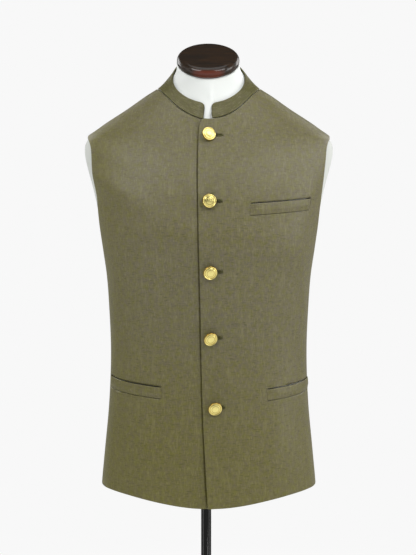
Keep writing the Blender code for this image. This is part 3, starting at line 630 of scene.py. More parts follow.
def right_edge(height):
    return turn_of_x(-lap_x(height) - UNDERLAP_WIDTH, height)


def above_corner(neck_x, share):
    """Heights from the lap's corner up to the neckline at neck_x."""
    top = float(neckline(neck_angle_of_x(neck_x))[1])
    return LAP_CORNER_HEIGHT + (top - LAP_CORNER_HEIGHT) * share


def left_corner(share):
    """Places on the rounded corner between the lap's edge and the neckline."""
    height = above_corner(LAP_TOP_X, share)
    start = lap_x(LAP_CORNER_HEIGHT)
    return turn_of_x(start + (LAP_TOP_X - start) * (1 - np.sqrt(1 - share**2)), height), height


def right_corner(share):
    height = above_corner(RIGHT_NECK_X, share)
    return right_edge(height), height


def front_grid(edge_turn, corner, neck_x, shares):
    """Turn and height of a front's grid. corner gives its edge above the lap's corner."""
    below = rows_below_underarm(edge_turn, seam_turn, front_hem, shares)

    heights = UNDERARM + (LAP_CORNER_HEIGHT - UNDERARM) * np.arange(CHEST_ROWS) / CHEST_ROWS
    upper_edge = corner(np.sin(np.arange(CORNER_ROWS) / CORNER_ROWS * math.pi / 2))
    edge = map(np.concatenate, zip((edge_turn(heights), heights), upper_edge))
    chest = fan_out(edge, armhole_place(FRONT_CHEST_SHARE * UPPER_ROWS, IN_FRONT), shares)

    angles = np.linspace(neck_angle_of_x(neck_x), 90, NECK_ROWS)
    climb = np.linspace(FRONT_CHEST_SHARE, 1, NECK_ROWS)
    shoulder = fan_out(neckline(angles), armhole_place(climb, IN_FRONT), shares)

    turn, height = map(np.concatenate, zip(below, chest, shoulder))
    return np.minimum(turn, seam_turn(height)), height


def back_side(height):
    return seam_turn(height, behind=True)


def back_grid(shares):
    """Turn and height of the back's half at the wearer's left, from its middle to the side."""
    middle = np.full_like(UPPER_ROWS, 180.0)
    below = rows_below_underarm(lambda z: z * 0 + 180, back_side, lambda z: z * 0 + HEM_HEIGHT, shares)

    heights = UNDERARM + (float(neckline(180.0)[1]) - UNDERARM) * UPPER_ROWS
    turn, height = armhole_place(BACK_CHEST_SHARE * UPPER_ROWS, BEHIND)
    chest = fan_out((middle, heights), (180 - turn, height), shares)

    turn, height = armhole_place(np.linspace(BACK_CHEST_SHARE, 1, NECK_ROWS), BEHIND)
    shoulder = fan_out(neckline(180 - np.linspace(0, 90, NECK_ROWS)), (180 - turn, height), shares)

    turn, height = map(np.concatenate, zip(below, chest, shoulder))
    return np.maximum(turn, back_side(height)), height


left_turn, left_height = front_grid(left_edge, left_corner, LAP_TOP_X, EVEN_COLUMNS)
print("a front is a grid of", left_turn.shape[0], "rows and", left_turn.shape[1], "columns")

# %% [markdown]
# ## From a grid to cloth
#
# The grid becomes an open mesh. Its UV map holds real distances in metres along the body
# surface, so the weave keeps its scale and runs upright. Solidify then gives the cloth its
# wall, and Bevel rounds the rim into the soft roll of an edge that was turned and pressed.

# %% Mesh, threads map, wall and rolled edge
EDGE_ROLL = 0.00095
DISTANCE_STEPS = 40
MERGE = 0.00001


def path_length(turn, height):
    """Lengths of paths over the body surface, whose places follow the first axis."""
    return np.linalg.norm(np.diff(body_point(turn, height), axis=0), axis=-1).sum(axis=0)


def threads_map(turn, height):
    """Metres over the body to each place: round it from the front, and up it from the underarm."""
    shares = np.linspace(0, 1, DISTANCE_STEPS)[:, None, None]
    round_body = path_length(turn * shares, height)
    up_body = path_length(turn, UNDERARM + (height - UNDERARM) * shares)
    return np.stack([np.sign(turn) * round_body, np.sign(height - UNDERARM) * up_body], axis=-1)


def grid_mesh(name, points, uvs, flip=False, closed=False, uv_name="threads"):
    """A smooth mesh over a grid of points. closed joins each row's ends and fills both rims."""
    rows, columns = points.shape[:2]
    index = np.arange(rows * columns).reshape(rows, columns)
    rims = [index[0].tolist(), index[-1, ::-1].tolist()] if closed else []
    if closed:
        index = np.concatenate([index, index[:, :1]], axis=1)
    corners = [index[:-1, :-1], index[:-1, 1:], index[1:, 1:], index[1:, :-1]]
    quads = np.stack(corners[::-1] if flip else corners, axis=-1).reshape(-1, 4).tolist()
    mesh = bpy.data.meshes.new(name)
    mesh.from_pydata(points.reshape(-1, 3).tolist(), [], quads + rims)
    order = np.concatenate([np.ravel(quads), *rims]).astype(int)
    mesh.uv_layers.new(name=uv_name).data.foreach_set("uv", uvs.reshape(-1, 2)[order].ravel())
    mesh.shade_smooth()
    return mesh


def finished_mesh(builder, name, smooth=True):
    """A mesh of what a BMesh holds."""
    mesh = bpy.data.meshes.new(name)
    builder.to_mesh(mesh)
    builder.free()
    if smooth:
        mesh.shade_smooth()
    return mesh


def new_object(name, data):
    made = bpy.data.objects.new(name, data)
    bpy.context.scene.collection.objects.link(made)
    return made


def new_piece(name, mesh, finish, node=None):
    """An object that rides on the part's one body and stands for that CAD node."""
    piece = new_object(name, mesh)
    if not mesh.materials:
        mesh.materials.append(finish)
    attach(piece, "root")
    if node:
        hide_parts(node)
    return piece


def give_wall(piece, thickness, roll):
    wall = piece.modifiers.new("wall", "SOLIDIFY")
    set_all(wall, thickness=thickness, offset=-1, use_even_offset=True)
    edge = piece.modifiers.new("rolled edge", "BEVEL")
    set_all(edge, width=roll, segments=3, use_clamp_overlap=False)
    set_all(edge, limit_method="ANGLE", angle_limit=math.radians(60))


def sheet_of_cloth(
    name,
    mesh,
    threads,
    finish=body_cotton,
    thickness=CLOTH,
    roll=EDGE_ROLL,
    held="hung",
    carrier="form_torso",
    halves=1,  # 2 where the threads map covers half of the piece
):
    """A piece of cloth with its wall. Its threads map is not used."""
    piece = new_piece(name + "_cloth", mesh, finish, name)
    give_wall(piece, thickness, roll)
    return piece


# %% [markdown]
# The left front lies on top. Its free edge stands a little proud of the cloth under it, as
# a pressed edge with its seam inside does, so it throws a thin shadow down the front. Below
# the last button nothing holds the edge, so it stands further off.

# %% The left front
EDGE_LIFT = 0.0011
EDGE_LIFT_RUN = 0.012
EDGE_CORNER_RUN = 0.03
EDGE_SWING = 1.6
SWING_TOP = 0.46
SWING_RUN = 0.12

from_edge = body_point(left_turn, left_height)[..., 0] - lap_x(left_height)
lift = EDGE_LIFT * ease(1 - from_edge / EDGE_LIFT_RUN)
lift = lift * ease((LAP_CORNER_HEIGHT - left_height) / EDGE_CORNER_RUN)
lift = lift * (1 + EDGE_SWING * ease((SWING_TOP - left_height) / SWING_RUN))
threads = threads_map(left_turn, left_height)
mesh = grid_mesh("front_left", cloth_point(left_turn, left_height, -lift), threads)
front_left = sheet_of_cloth("front_left", mesh, threads)

# %% [markdown]
# The right front carries the buttons. It sinks under the left one and is cut a little lower
# at the neck there, so it never shows through the lap. Closer columns follow the step.

# %% The right front
turn, height = front_grid(right_edge, right_corner, RIGHT_NECK_X, LAP_COLUMNS)
x = -body_point(turn, height)[..., 0]
covered = ease((x - LAP_TOP_X) / UNDERLAP_BLEND)
above = ease((height - LAP_CORNER_HEIGHT) / UNDERLAP_BLEND)
height = height - UNDERLAP_DROP * covered * above
threads = threads_map(-turn, height)
mesh = grid_mesh("front_right", cloth_point(-turn, height, step_down(x, height)), threads, flip=True)
front_right = sheet_of_cloth("front_right", mesh, threads)

# %% [markdown]
# The back is cut in one. Its grid covers the wearer's left half, the same grid mirrored
# covers the other, and the points that meet along the middle are merged.

# %% The back
turn, height = back_grid(EVEN_COLUMNS)
threads = threads_map(turn, height)
mirrored = threads.copy()
mirrored[..., 0] = 2 * threads_map(np.full_like(turn, 180.0), height)[..., 0] - threads[..., 0]
builder = bmesh.new()
for half_turn, uvs, flip in ((turn, threads, True), (360 - turn, mirrored, False)):
    half = grid_mesh("half of the back", cloth_point(half_turn, height), uvs, flip)
    builder.from_mesh(half)
    bpy.data.meshes.remove(half)
bmesh.ops.remove_doubles(builder, verts=builder.verts, dist=MERGE)
sheet_of_cloth("back", finished_mesh(builder, "back"), threads, halves=2)

# %% [markdown]
# ## The stand collar
#
# The band is a ring of its own between the neckline and a level oval that climbs towards
# the back. Its two ends are rounded: the top edge comes down along a quarter circle. Its
# cloth is cut across the grain, and its colours are set darker than the body's.

# %% Collar
COLLAR_CLOTH = 0.0024
COLLAR_ROLL = 0.0011
COLLAR_TOP = (0.0615, 0.0560, 0.0410, 2.0)
COLLAR_FRONT_HEIGHT = 0.969
COLLAR_RISE = 0.088
COLLAR_RISE_POWER = 0.92
COLLAR_CORNER = 0.009
COLLAR_RIGHT_END_X = -0.0090
COLLAR_LEFT_END_X = 0.0055
COLLAR_SEAM_GAP = 0.0013  # a groove that the turned edges make a little wider
COLLAR_ROWS = 16
COLLAR_CORNER_COLUMNS = 14
COLLAR_COLUMNS = 150
COLLAR_RADIUS = 0.0787  # its mean radius, which turns an angle about the neck into a distance
NECK_SIDE_LEAN = -0.09
NECK_LEAN_HEIGHT = 1.0245


def collar_surface(angle, share):
    """Outer face of the band: share is 0 at the neck seam and 1 at the top edge."""
    turn, height = neckline(angle)
    at = body_point(turn, height)
    on_right = (at[..., 0] < 0) & (np.abs(angle) < 90)
    depth = np.where(on_right, step_down(at[..., 0], LAP_CORNER_HEIGHT), 0.0)
    base = at - outward(turn, height) * depth[..., None]
    x, y = oval(angle, *COLLAR_TOP)
    way_round = (1 - np.cos(np.radians(angle))) / 2
    top = np.stack(
        [x, y + depth, COLLAR_FRONT_HEIGHT + COLLAR_RISE * way_round**COLLAR_RISE_POWER], axis=-1
    )
    start = base + unit(top - base) * COLLAR_SEAM_GAP
    return start + (top - start) * share[..., None]


def leaned(points):
    """The points, moved sideways with the lean of the neck."""
    points = np.array(points, float)
    points[..., 0] += NECK_SIDE_LEAN * np.maximum(points[..., 2] - NECK_LEAN_HEIGHT, 0.0)
    return points


collar_start = neck_angle_of_x(COLLAR_LEFT_END_X)
collar_end = 360 + neck_angle_of_x(COLLAR_RIGHT_END_X)
corner_turn = math.degrees(COLLAR_CORNER / NECK_FRONT)
corner = corner_turn * (1 - np.cos(np.linspace(0, math.pi / 2, COLLAR_CORNER_COLUMNS)))
angles = np.concatenate(
    [
        collar_start + corner,
        np.linspace(collar_start + corner_turn, collar_end - corner_turn, COLLAR_COLUMNS)[1:-1],
        (collar_end - corner)[::-1],
    ]
)
run = np.radians(np.minimum(angles - collar_start, collar_end - angles)) * NECK_FRONT
lost = COLLAR_CORNER - np.sqrt(
    np.maximum(COLLAR_CORNER**2 - np.maximum(COLLAR_CORNER - run, 0.0) ** 2, 0.0)
)
angles = np.where(angles > 180, angles - 360, angles)
seam, top = (collar_surface(angles, np.full_like(angles, share)) for share in (0, 1))
width = np.linalg.norm(top - seam, axis=-1)
shares = np.linspace(0, 1, COLLAR_ROWS + 1)[:, None] * (1 - lost / width)
angles, shares = np.broadcast_arrays(angles, shares)
threads = np.stack([np.radians(angles) * COLLAR_RADIUS, shares * width], axis=-1)
mesh = grid_mesh("collar", leaned(collar_surface(angles, shares)), threads)
sheet_of_cloth("collar", mesh, threads, collar_cotton, COLLAR_CLOTH, COLLAR_ROLL, held="stretched")

# %% [markdown]
# ## Welt pockets
#
# A welt is a narrow folded strip. Its lower edge is sewn into the pocket's slit and its
# fold stands a little proud at the top, so a thin dark line shows above it. The strip is
# made from the places of the front under it, moved out. The slit is cut further down.

# %% Welts
WELT_CLOTH = 0.0016
WELT_ROLL = 0.0006
WELTS = [  # name, inner turn, outer turn, height of the top at both ends, width
    ("welt_chest", 20.2, 59.5, 0.8025, 0.811, 0.0185),
    ("welt_left", 34.4, 86.0, 0.498, 0.508, 0.018),
    ("welt_right", -27.4, -80.0, 0.502, 0.512, 0.018),
]
WELT_COLUMNS = 64
WELT_ROWS = 10
WELT_SWELL = 0.0004  # the folded strip is a little fuller along its middle
WELT_SEWN = 0.2  # share of its cloth that still stands proud where the strip is sewn down
WELT_SEWN_RISE = 0.45  # share of its width over which it comes free
WELT_TAPER = 0.09

for name, inner_turn, outer_turn, inner_top, outer_top, width in WELTS:
    along = np.linspace(0, 1, WELT_COLUMNS + 1)[None, :]
    up = np.linspace(0, 1, WELT_ROWS + 1)[:, None]
    turn = inner_turn + (outer_turn - inner_turn) * along + up * 0
    height = inner_top + (outer_top - inner_top) * along - width * (1 - up)
    free = ease(along / WELT_TAPER) * ease((1 - along) / WELT_TAPER) * ease(up / WELT_SEWN_RISE)
    swell = WELT_SWELL * np.sin(np.pi * np.clip(up, 0.02, 0.98))
    proud = SEAM_GAP + WELT_CLOTH * (WELT_SEWN + (1 - WELT_SEWN) * free) + swell * free
    threads = threads_map(turn, height)
    mesh = grid_mesh(name, cloth_point(turn, height, -proud), threads, flip=outer_turn < 0)
    carrier = "front_right_cloth" if outer_turn < 0 else "front_left_cloth"
    cut_as = {"thickness": WELT_CLOTH, "roll": WELT_ROLL, "held": "laid", "carrier": carrier}
    sheet_of_cloth(name, mesh, threads, **cut_as)

# %% [markdown]
# ## Where the buttons sit
#
# Each button's shank goes through a keyhole buttonhole in the left front, a little in from
# the edge. The shanks give the buttons some play, so each leans its own way.

# %% Button places
BUTTONS = [  # height, distance in from the edge, lean sideways and up in degrees, slit length
    (0.9148, 0.0152, 18.0, -18.0, 0.0233),
    (0.8071, 0.0170, 11.0, -7.0, 0.0200),
    (0.6935, 0.0161, 13.0, -12.0, 0.0192),
    (0.5852, 0.0138, 20.0, -16.0, 0.0188),
    (0.4715, 0.0193, 11.0, -25.0, 0.0150),
]


def button_place(height, from_edge):
    """The place on the cloth where the shank goes in: point, normal, along and up."""
    x = float(lap_x(height)) + from_edge
    turn = float(turn_of_x(x, height))
    normal = Vector(outward(turn, height))
    along = Vector((0, 0, 1)).cross(normal).normalized()
    return Vector(cloth_point(turn, height)), normal, along, normal.cross(along)


print("button spacing", [round(a[0] - b[0], 3) for a, b in zip(BUTTONS, BUTTONS[1:])], "m")

# %% [markdown]
# ## Cutting the buttonholes and pocket slits
#
# A Boolean modifier cuts a mesh with another. The cutters are prisms: keyhole outlines
# across the wall for the buttonholes, thin curved bars along the welts' top edges for the
# pockets, and shallow ones for the grooves of their seams. They are applied here and
# removed, because the finished cloth needs only its holes.

# %% Cutters
EYELET_RADIUS = 0.0030
SLIT_HALF_WIDTH = 0.0008
CUTTER_REACH = 0.0060
OUTSIDE, INSIDE = -0.004, 0.004  # depths on either side of the wall
POCKET_SLIT = 0.0018
SLIT_DROP = 0.0002
SEAM_GROOVE = 0.0010
SEAM_RISE = 0.0001
GROOVE_SHORT = 0.0006  # the groove at a welt's end stops this far from its corners


def keyhole(slit, grow=0.0):
    """Outline of a keyhole buttonhole, its eyelet at the origin and its slit along +X."""
    radius, half = EYELET_RADIUS + grow, SLIT_HALF_WIDTH + grow
    opening = math.asin(half / radius)
    eyelet = np.linspace(opening, 2 * math.pi - opening, 21)
    tip = np.linspace(-math.pi / 2, math.pi / 2, 9)
    end = slit - SLIT_HALF_WIDTH
    outline = [(radius * math.cos(angle), radius * math.sin(angle)) for angle in eyelet]
    return outline + [(end + half * math.cos(angle), half * math.sin(angle)) for angle in tip]


def prism(builder, middle, reach):
    """A closed prism over an outline of points. reach is a vector, half its length."""
    outer = [builder.verts.new(point + reach) for point in middle]
    inner = [builder.verts.new(point - reach) for point in middle]
    for i in range(len(middle)):
        builder.faces.new([outer[i - 1], inner[i - 1], inner[i], outer[i]])
    builder.faces.new(outer)
    builder.faces.new(inner[::-1])


def curved_bar(builder, low, high, bottom):
    """A bar that follows the cloth between two lines of places, each a (turn, height) pair."""
    rails = []
    for line, depth in ((low, OUTSIDE), (low, bottom), (high, bottom), (high, OUTSIDE)):
        rails.append([builder.verts.new(point) for point in cloth_point(*line, depth)])
    for a, b in zip(rails, rails[1:] + rails[:1]):
        for i in range(len(a) - 1):
            builder.faces.new([a[i], b[i], b[i + 1], a[i + 1]])
    for end in (0, -1):
        builder.faces.new([rail[end] for rail in rails])


def pocket_bars(builder, welt, end_sewn=False):
    """The slit above a welt, which goes through the wall, the groove of the seam under it,
    and the groove down its outer end where that end is sewn down on the cloth."""
    _, inner_turn, outer_turn, inner_top, outer_top, width = welt
    along = np.linspace(0.01, 0.99, WELT_COLUMNS)
    turn = inner_turn + (outer_turn - inner_turn) * along
    top = inner_top + (outer_top - inner_top) * along
    slit, seam = top - SLIT_DROP, top - width + SEAM_RISE
    curved_bar(builder, (turn, slit), (turn, slit + POCKET_SLIT), INSIDE)
    curved_bar(builder, (turn, seam - SEAM_GROOVE), (turn, seam), SEAM_GROOVE)
    if end_sewn:
        height = np.linspace(outer_top - width + GROOVE_SHORT, outer_top - GROOVE_SHORT, 12)
        turn = np.full_like(height, outer_turn)
        wide = math.degrees(SEAM_GROOVE / MEAN_RADIUS)
        curved_bar(builder, (turn + wide, height), (turn, height), SEAM_GROOVE)


def cut(piece, fill):
    """Applies the piece's modifiers and cuts it with the prisms that fill adds to a mesh."""
    builder = bmesh.new()
    fill(builder)
    bmesh.ops.recalc_face_normals(builder, faces=builder.faces)
    cutter = new_object("cutter", finished_mesh(builder, "cutter", smooth=False))
    boolean = piece.modifiers.new("cut", "BOOLEAN")
    set_all(boolean, operation="DIFFERENCE", solver="EXACT", object=cutter)
    bpy.context.view_layer.update()
    graph = bpy.context.evaluated_depsgraph_get()
    piece.data = bpy.data.meshes.new_from_object(piece.evaluated_get(graph))
    piece.modifiers.clear()
    bpy.data.objects.remove(cutter)
    print(piece.name, "has", len(piece.data.polygons), "faces")


def left_cutters(builder):
    for height, from_edge, _, _, slit in BUTTONS:
        centre, normal, along, up = button_place(height, from_edge)
        middle = [centre + along * x + up * z for x, z in keyhole(slit)]
        prism(builder, middle, normal * CUTTER_REACH)
    pocket_bars(builder, WELTS[0], end_sewn=True)
    pocket_bars(builder, WELTS[1])


cut(front_left, left_cutters)
cut(front_right, lambda builder: pocket_bars(builder, WELTS[2]))

# %% [markdown]
# ## Buttonhole stitches
#
# A buttonhole's raw edge is covered by close stitches of thick twist, each with a small
# knot on the edge, called a purl. Each stitch here is a short curved tube that comes up
# from the slit, turns over the edge and lies down on the cloth. A bar of longer stitches
# closes the far end. All of them are joined into one mesh for each buttonhole.

# %% Stitches round the keyholes
STITCH_RADIUS = 0.00034
STITCH_SPACING = 0.00062
STITCH_BITE = 0.0021  # how far each stitch reaches into the cloth
STITCH_PATH = [  # metres and share of the bite out from the edge, height, share of the radius
    (-0.0003, 0.0, -0.0008, 1.0),
    (-0.0004, 0.0, 0.0001, 1.35),
    (0.0, 0.0, 0.00055, 1.3),
    (0.0, 0.45, 0.00045, 1.0),
    (0.0, 1.0, -0.0002, 0.8),
]
EDGE_CLEARANCE = 0.0001
UNEVEN = ((0.10, 2.3), (0.05, 5.1))  # how unevenly a hand stitches: share of the bite, pace
BAR_STITCHES = 5
BAR_START = 0.0003
BAR_SPACING = 0.0005
BAR_HEIGHT = 0.0008
BAR_SINK = 0.0002
BAR_REACH = STITCH_BITE * 1.05
TUBE_SIDES = 6


def tube(builder, path, radii):
    """A closed tube of flat-ended rings along a path of points."""
    angles = [2 * math.pi * k / TUBE_SIDES for k in range(TUBE_SIDES)]
    spokes = [Vector((math.cos(angle), math.sin(angle), 0.0)) for angle in angles]
    rings = []
    for i, (point, radius) in enumerate(zip(path, radii)):
        ahead = (path[min(i + 1, len(path) - 1)] - path[max(i - 1, 0)]).normalized()
        turn = ahead.to_track_quat("Z", "Y")
        rings.append([builder.verts.new(point + turn @ (spoke * radius)) for spoke in spokes])
    for low, high in zip(rings, rings[1:]):
        for k in range(TUBE_SIDES):
            builder.faces.new([low[k - 1], low[k], high[k], high[k - 1]])
    builder.faces.new(rings[0][::-1])
    builder.faces.new(rings[-1])


def evenly_along(outline, spacing):
    """Points at an even spacing along a closed outline, each with its outward direction."""
    places = []
    left_over = 0.0
    for (x0, y0), (x1, y1) in zip(outline, outline[1:] + outline[:1]):
        length = math.hypot(x1 - x0, y1 - y0)
        at = left_over
        while at < length:
            share = at / length
            out = ((y1 - y0) / length, -(x1 - x0) / length)
            places.append((x0 + (x1 - x0) * share, y0 + (y1 - y0) * share, *out))
            at += spacing
        left_over = at - length
    return places


def add_stitches(number, height, from_edge, slit):
    centre, normal, along, up = button_place(height, from_edge)
    builder = bmesh.new()

    def lift(x, y, out):
        return centre + along * x + up * y + normal * out

    places = evenly_along(keyhole(slit, EDGE_CLEARANCE), STITCH_SPACING)
    for i, (x, y, out_x, out_y) in enumerate(places):
        bite = STITCH_BITE * (1.0 + sum(share * math.sin(i * pace) for share, pace in UNEVEN))
        out = [metres + share * bite for metres, share, _, _ in STITCH_PATH]
        path = [lift(x + out_x * d, y + out_y * d, row[2]) for d, row in zip(out, STITCH_PATH)]
        tube(builder, path, [STITCH_RADIUS * row[3] for row in STITCH_PATH])
    for k in range(BAR_STITCHES):
        x = slit + BAR_START + k * BAR_SPACING
        arch = (-1, -0.5, 0, 0.5, 1)
        path = [lift(x, BAR_REACH * t, BAR_HEIGHT * (1 - t * t) - BAR_SINK) for t in arch]
        tube(builder, path, [STITCH_RADIUS] * len(arch))
    name = f"buttonhole_{number}_stitches"
    mesh = finished_mesh(builder, name)
    new_piece(name, mesh, buttonhole_twist)
    print(name, "has", len(mesh.polygons), "faces")


for number, (height, from_edge, _, _, slit) in enumerate(BUTTONS, start=1):
    add_stitches(number, height, from_edge, slit)

# %% [markdown]
# ## Gilt buttons
#
# The buttons are stamped shells with a domed face, a raised rim and a shank behind. The
# face carries a plain rosette of eight petals inside a beaded ring, and the rim is roped.
# A turned profile could give the dome but not the stamping, so the button is a polar grid:
# rings of points whose height is the profile plus the relief. Two grooves frame the beads,
# and the relief map records how proud each place stands, and where the rim turns down and
# is painted dark as painted shade, for the brass to read.

# %% Button face
BUTTON_PROFILE = np.array(
    [  # share of the way from the middle of the face to the shank, radius, height
        (0.00, 0.0000, 0.0092),
        (0.18, 0.0042, 0.0089),
        (0.34, 0.0077, 0.0081),
        (0.40, 0.0091, 0.0076),
        (0.45, 0.0101, 0.0081),
        (0.51, 0.0110, 0.0077),
        (0.56, 0.0116, 0.0068),
        (0.62, 0.0112, 0.0058),
        (0.70, 0.0090, 0.0052),
        (0.84, 0.0018, 0.0046),
        (1.00, 0.0018, -0.0016),
    ]
)
BUTTON_SPOKES = 128
FACE_RINGS = 96
BACK_RINGS = 14
FACE_SHARE = 0.60  # of the profile: the face and its rim
RIM_TURNS = 0.0106  # past this radius the rim turns down and is painted dark: painted shade
PLAIN_SHINE = 0.65
RELIEF_RANGE = 0.0007

PETALS = 8
PETAL_ROOT, PETAL_LENGTH = 0.0022, 0.0026
PETAL_ROUNDNESS = 0.7
PETAL_START = 0.0014
PETAL_EDGE = 0.0007
BOSS_RADIUS = 0.0015
SOFT_EDGE = 0.0006
PETAL_LIFT, RIB_CUT, BOSS_LIFT = 0.00010, 0.000021, 0.00014
GROOVE_CUT, BEAD_LIFT, ROPE_LIFT = 0.00020, 0.00010, 0.00002
BEADS = 40
ROPE_TURNS = 48
ROPE_SLANT = 2600.0
RINGS = ((0.0060, 0.0005), (0.0088, 0.0006), (0.0074, 0.0005), (0.0104, 0.0008))  # radius, width


def button_relief(radius, angle):
    """How far the stamping lifts each place of the face, in metres."""
    lobe = np.abs(np.cos(angle * PETALS / 2)) ** PETAL_ROUNDNESS
    petal = ease((PETAL_ROOT + PETAL_LENGTH * lobe - radius) / PETAL_EDGE)
    petal = petal * ease((radius - PETAL_START) / SOFT_EDGE)
    rib = ease(1 - np.abs(np.sin(angle * PETALS / 2)) * radius / PETAL_EDGE) * petal
    boss = ease((BOSS_RADIUS - radius) / 0.0005)
    groove, outer_groove, beads, rim = (np.exp(-(((radius - r) / wide) ** 2)) for r, wide in RINGS)
    beads = beads * (0.7 + 0.3 * np.cos(angle * BEADS) ** 2)
    rope = rim * np.cos(angle * ROPE_TURNS + radius * ROPE_SLANT)
    stamped = PETAL_LIFT * petal - RIB_CUT * rib + BOSS_LIFT * boss
    return stamped - GROOVE_CUT * (groove + outer_groove) + BEAD_LIFT * beads + ROPE_LIFT * rope


def button_mesh():
    face = np.linspace(0.004, FACE_SHARE, FACE_RINGS)
    behind = np.linspace(FACE_SHARE, 1.0, BACK_RINGS + 1)[1:]
    share = np.concatenate([face, behind])[:, None]
    angle = np.linspace(0, 2 * math.pi, BUTTON_SPOKES, endpoint=False)[None, :]
    radius, height = (smooth_through(BUTTON_PROFILE, column, share) for column in (1, 2))
    relief = button_relief(radius, angle) * ease((FACE_SHARE - 0.03 - share) / 0.04)
    points = np.stack([radius * np.cos(angle), radius * np.sin(angle), height + relief], axis=-1)
    # Painted shade: past RIM_TURNS the rim that turns down is drawn dark.
    shine_and_rim_shade = PLAIN_SHINE * (1 - ease((radius - RIM_TURNS) / SOFT_EDGE)) + relief / RELIEF_RANGE
    uvs = np.stack([shine_and_rim_shade, np.zeros_like(shine_and_rim_shade)], axis=-1)
    return grid_mesh("button", points, uvs, flip=True, closed=True, uv_name="relief")


shared_button = button_mesh()
for number, (height, from_edge, sideways, upwards, _) in enumerate(BUTTONS, start=1):
    centre, normal, _, _ = button_place(height, from_edge)
    lean = Vector((math.sin(math.radians(sideways)), 0, math.sin(math.radians(upwards))))
    node = f"button_{number}"
    button = new_piece(node + "_gilt", shared_button, brass, node)
    aim = (normal + lean).normalized().to_track_quat("Z", "Y")
    set_all(button, rotation_mode="QUATERNION", rotation_quaternion=aim, location=centre)
print("buttons:", len(BUTTONS), "of", len(shared_button.polygons), "faces")

# %% [markdown]
# ## The dress form
#
# The form is a smooth torso under a jersey cover. The plain solid already has its true
# shape in flat facets, so this piece starts as a copy of it: the triangles are joined back
# into four-sided faces, and a Subdivision modifier rounds them. The sharp edges of the flat
# underside and of the neck's top are creased, so that they stay where they are.

# %% Form, rounded from its solid
FORM_ROUNDING = 2

builder = bmesh.new()
builder.from_mesh(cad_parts["form_body"].data)
bmesh.ops.remove_doubles(builder, verts=builder.verts, dist=MERGE)
bmesh.ops.join_triangles(
    builder,
    faces=builder.faces,
    angle_face_threshold=math.radians(30),
    angle_shape_threshold=math.radians(60),
)
crease = builder.edges.layers.float.new("crease_edge")
for edge in builder.edges:
    if len(edge.link_faces) == 2 and edge.calc_face_angle() > math.radians(38):
        edge[crease] = 1.0
mesh = finished_mesh(builder, "form_torso")
torso = new_piece("form_torso", mesh, jersey, "form_body")
rounding = torso.modifiers.new("rounding", "SUBSURF")
set_all(rounding, levels=FORM_ROUNDING, render_levels=FORM_ROUNDING)
print("form:", len(mesh.polygons), "faces before rounding")

# %% [markdown]
# ## Turned pieces
#
# The neck cap was turned on a lathe, and so were the patterns for the socket and the base.
# The Screw modifier does the same: it spins half a profile about the Z axis. Each profile
# runs from the top's middle down the outer side, and its corners are rounded first, because
# a real lacquered or enamelled edge always is, and that is where the highlights sit.

# %% Rounded profiles and the lathe
LATHE_STEPS = 128


def rounded(profile, radius, steps=5):
    """The profile with each inner corner replaced by a small curve. Its ends stay."""
    points = [Vector(point) for point in profile]
    curve = [points[0]]
    for before, at, after in zip(points, points[1:], points[2:]):
        reach = min(radius, (at - before).length * 0.45, (after - at).length * 0.45)
        start = at + (before - at).normalized() * reach
        end = at + (after - at).normalized() * reach
        for i in range(steps + 1):
            t = i / steps
            curve.append(start * (1 - t) ** 2 + at * 2 * t * (1 - t) + end * t**2)
    return curve + [points[-1]]


def turned(name, profile, finish, node):
    mesh = bpy.data.meshes.new(name)
    edges = [(i, i + 1) for i in range(len(profile) - 1)]
    mesh.from_pydata([(point[0], 0.0, point[1]) for point in profile], edges, [])
    piece = new_piece(name, mesh, finish, node)
    spin = piece.modifiers.new("spin", "SCREW")
    set_all(spin, steps=LATHE_STEPS, render_steps=LATHE_STEPS, use_smooth_shade=True)
    set_all(spin, use_merge_vertices=True, merge_threshold=MERGE)
    return piece


# %% The neck cap
NECK_TOP_HEIGHT = 1.0395
NECK_TOP_LEAN = 0.60
CAP_STRETCH = 1.06
CAP_CENTRE_Y = -0.0075
CAP_PROFILE = [
    (0.0000, 0.0175),
    (0.0400, 0.0175),
    (0.0452, 0.0171),
    (0.0493, 0.0154),
    (0.0518, 0.0124),
    (0.0527, 0.0086),
    (0.0520, 0.0042),
    (0.0502, 0.0012),
    (0.0483, 0.0000),
    (0.0000, 0.0000),
]

cap = turned("neck_cap_turned", rounded(CAP_PROFILE, 0.004), beech, "neck_cap")
tilt = math.atan(NECK_TOP_LEAN)
cap.scale = (1.0, CAP_STRETCH, 1.0)
cap.rotation_euler = (tilt, 0.0, 0.0)
cap_height = NECK_TOP_HEIGHT + CAP_CENTRE_Y * NECK_TOP_LEAN + SEAM_GAP / math.cos(tilt)
cap.location = leaned([0.0, CAP_CENTRE_Y, cap_height])
print("cap", round(cap.location.z, 3), "m up, tilted", round(math.degrees(tilt), 1), "degrees")

# %% Socket, pole and base
POLE_X = -0.0045
POLE_RADIUS = 0.0088
BORE = POLE_RADIUS + 0.0004
BOSS = BORE + 0.007
FLANGE = 0.007
FLANGE_RADIUS = 0.047
SOCKET_LENGTH = 0.040
SOCKET_TOP = 0.343 - SEAM_GAP
BASE_RADIUS = 0.170
BASE_PLATE = 0.008
BASE_EDGE = 0.004
BASE_BOSS_HEIGHT = 0.032
FILLET = 0.010
CHAMFER = 0.0015

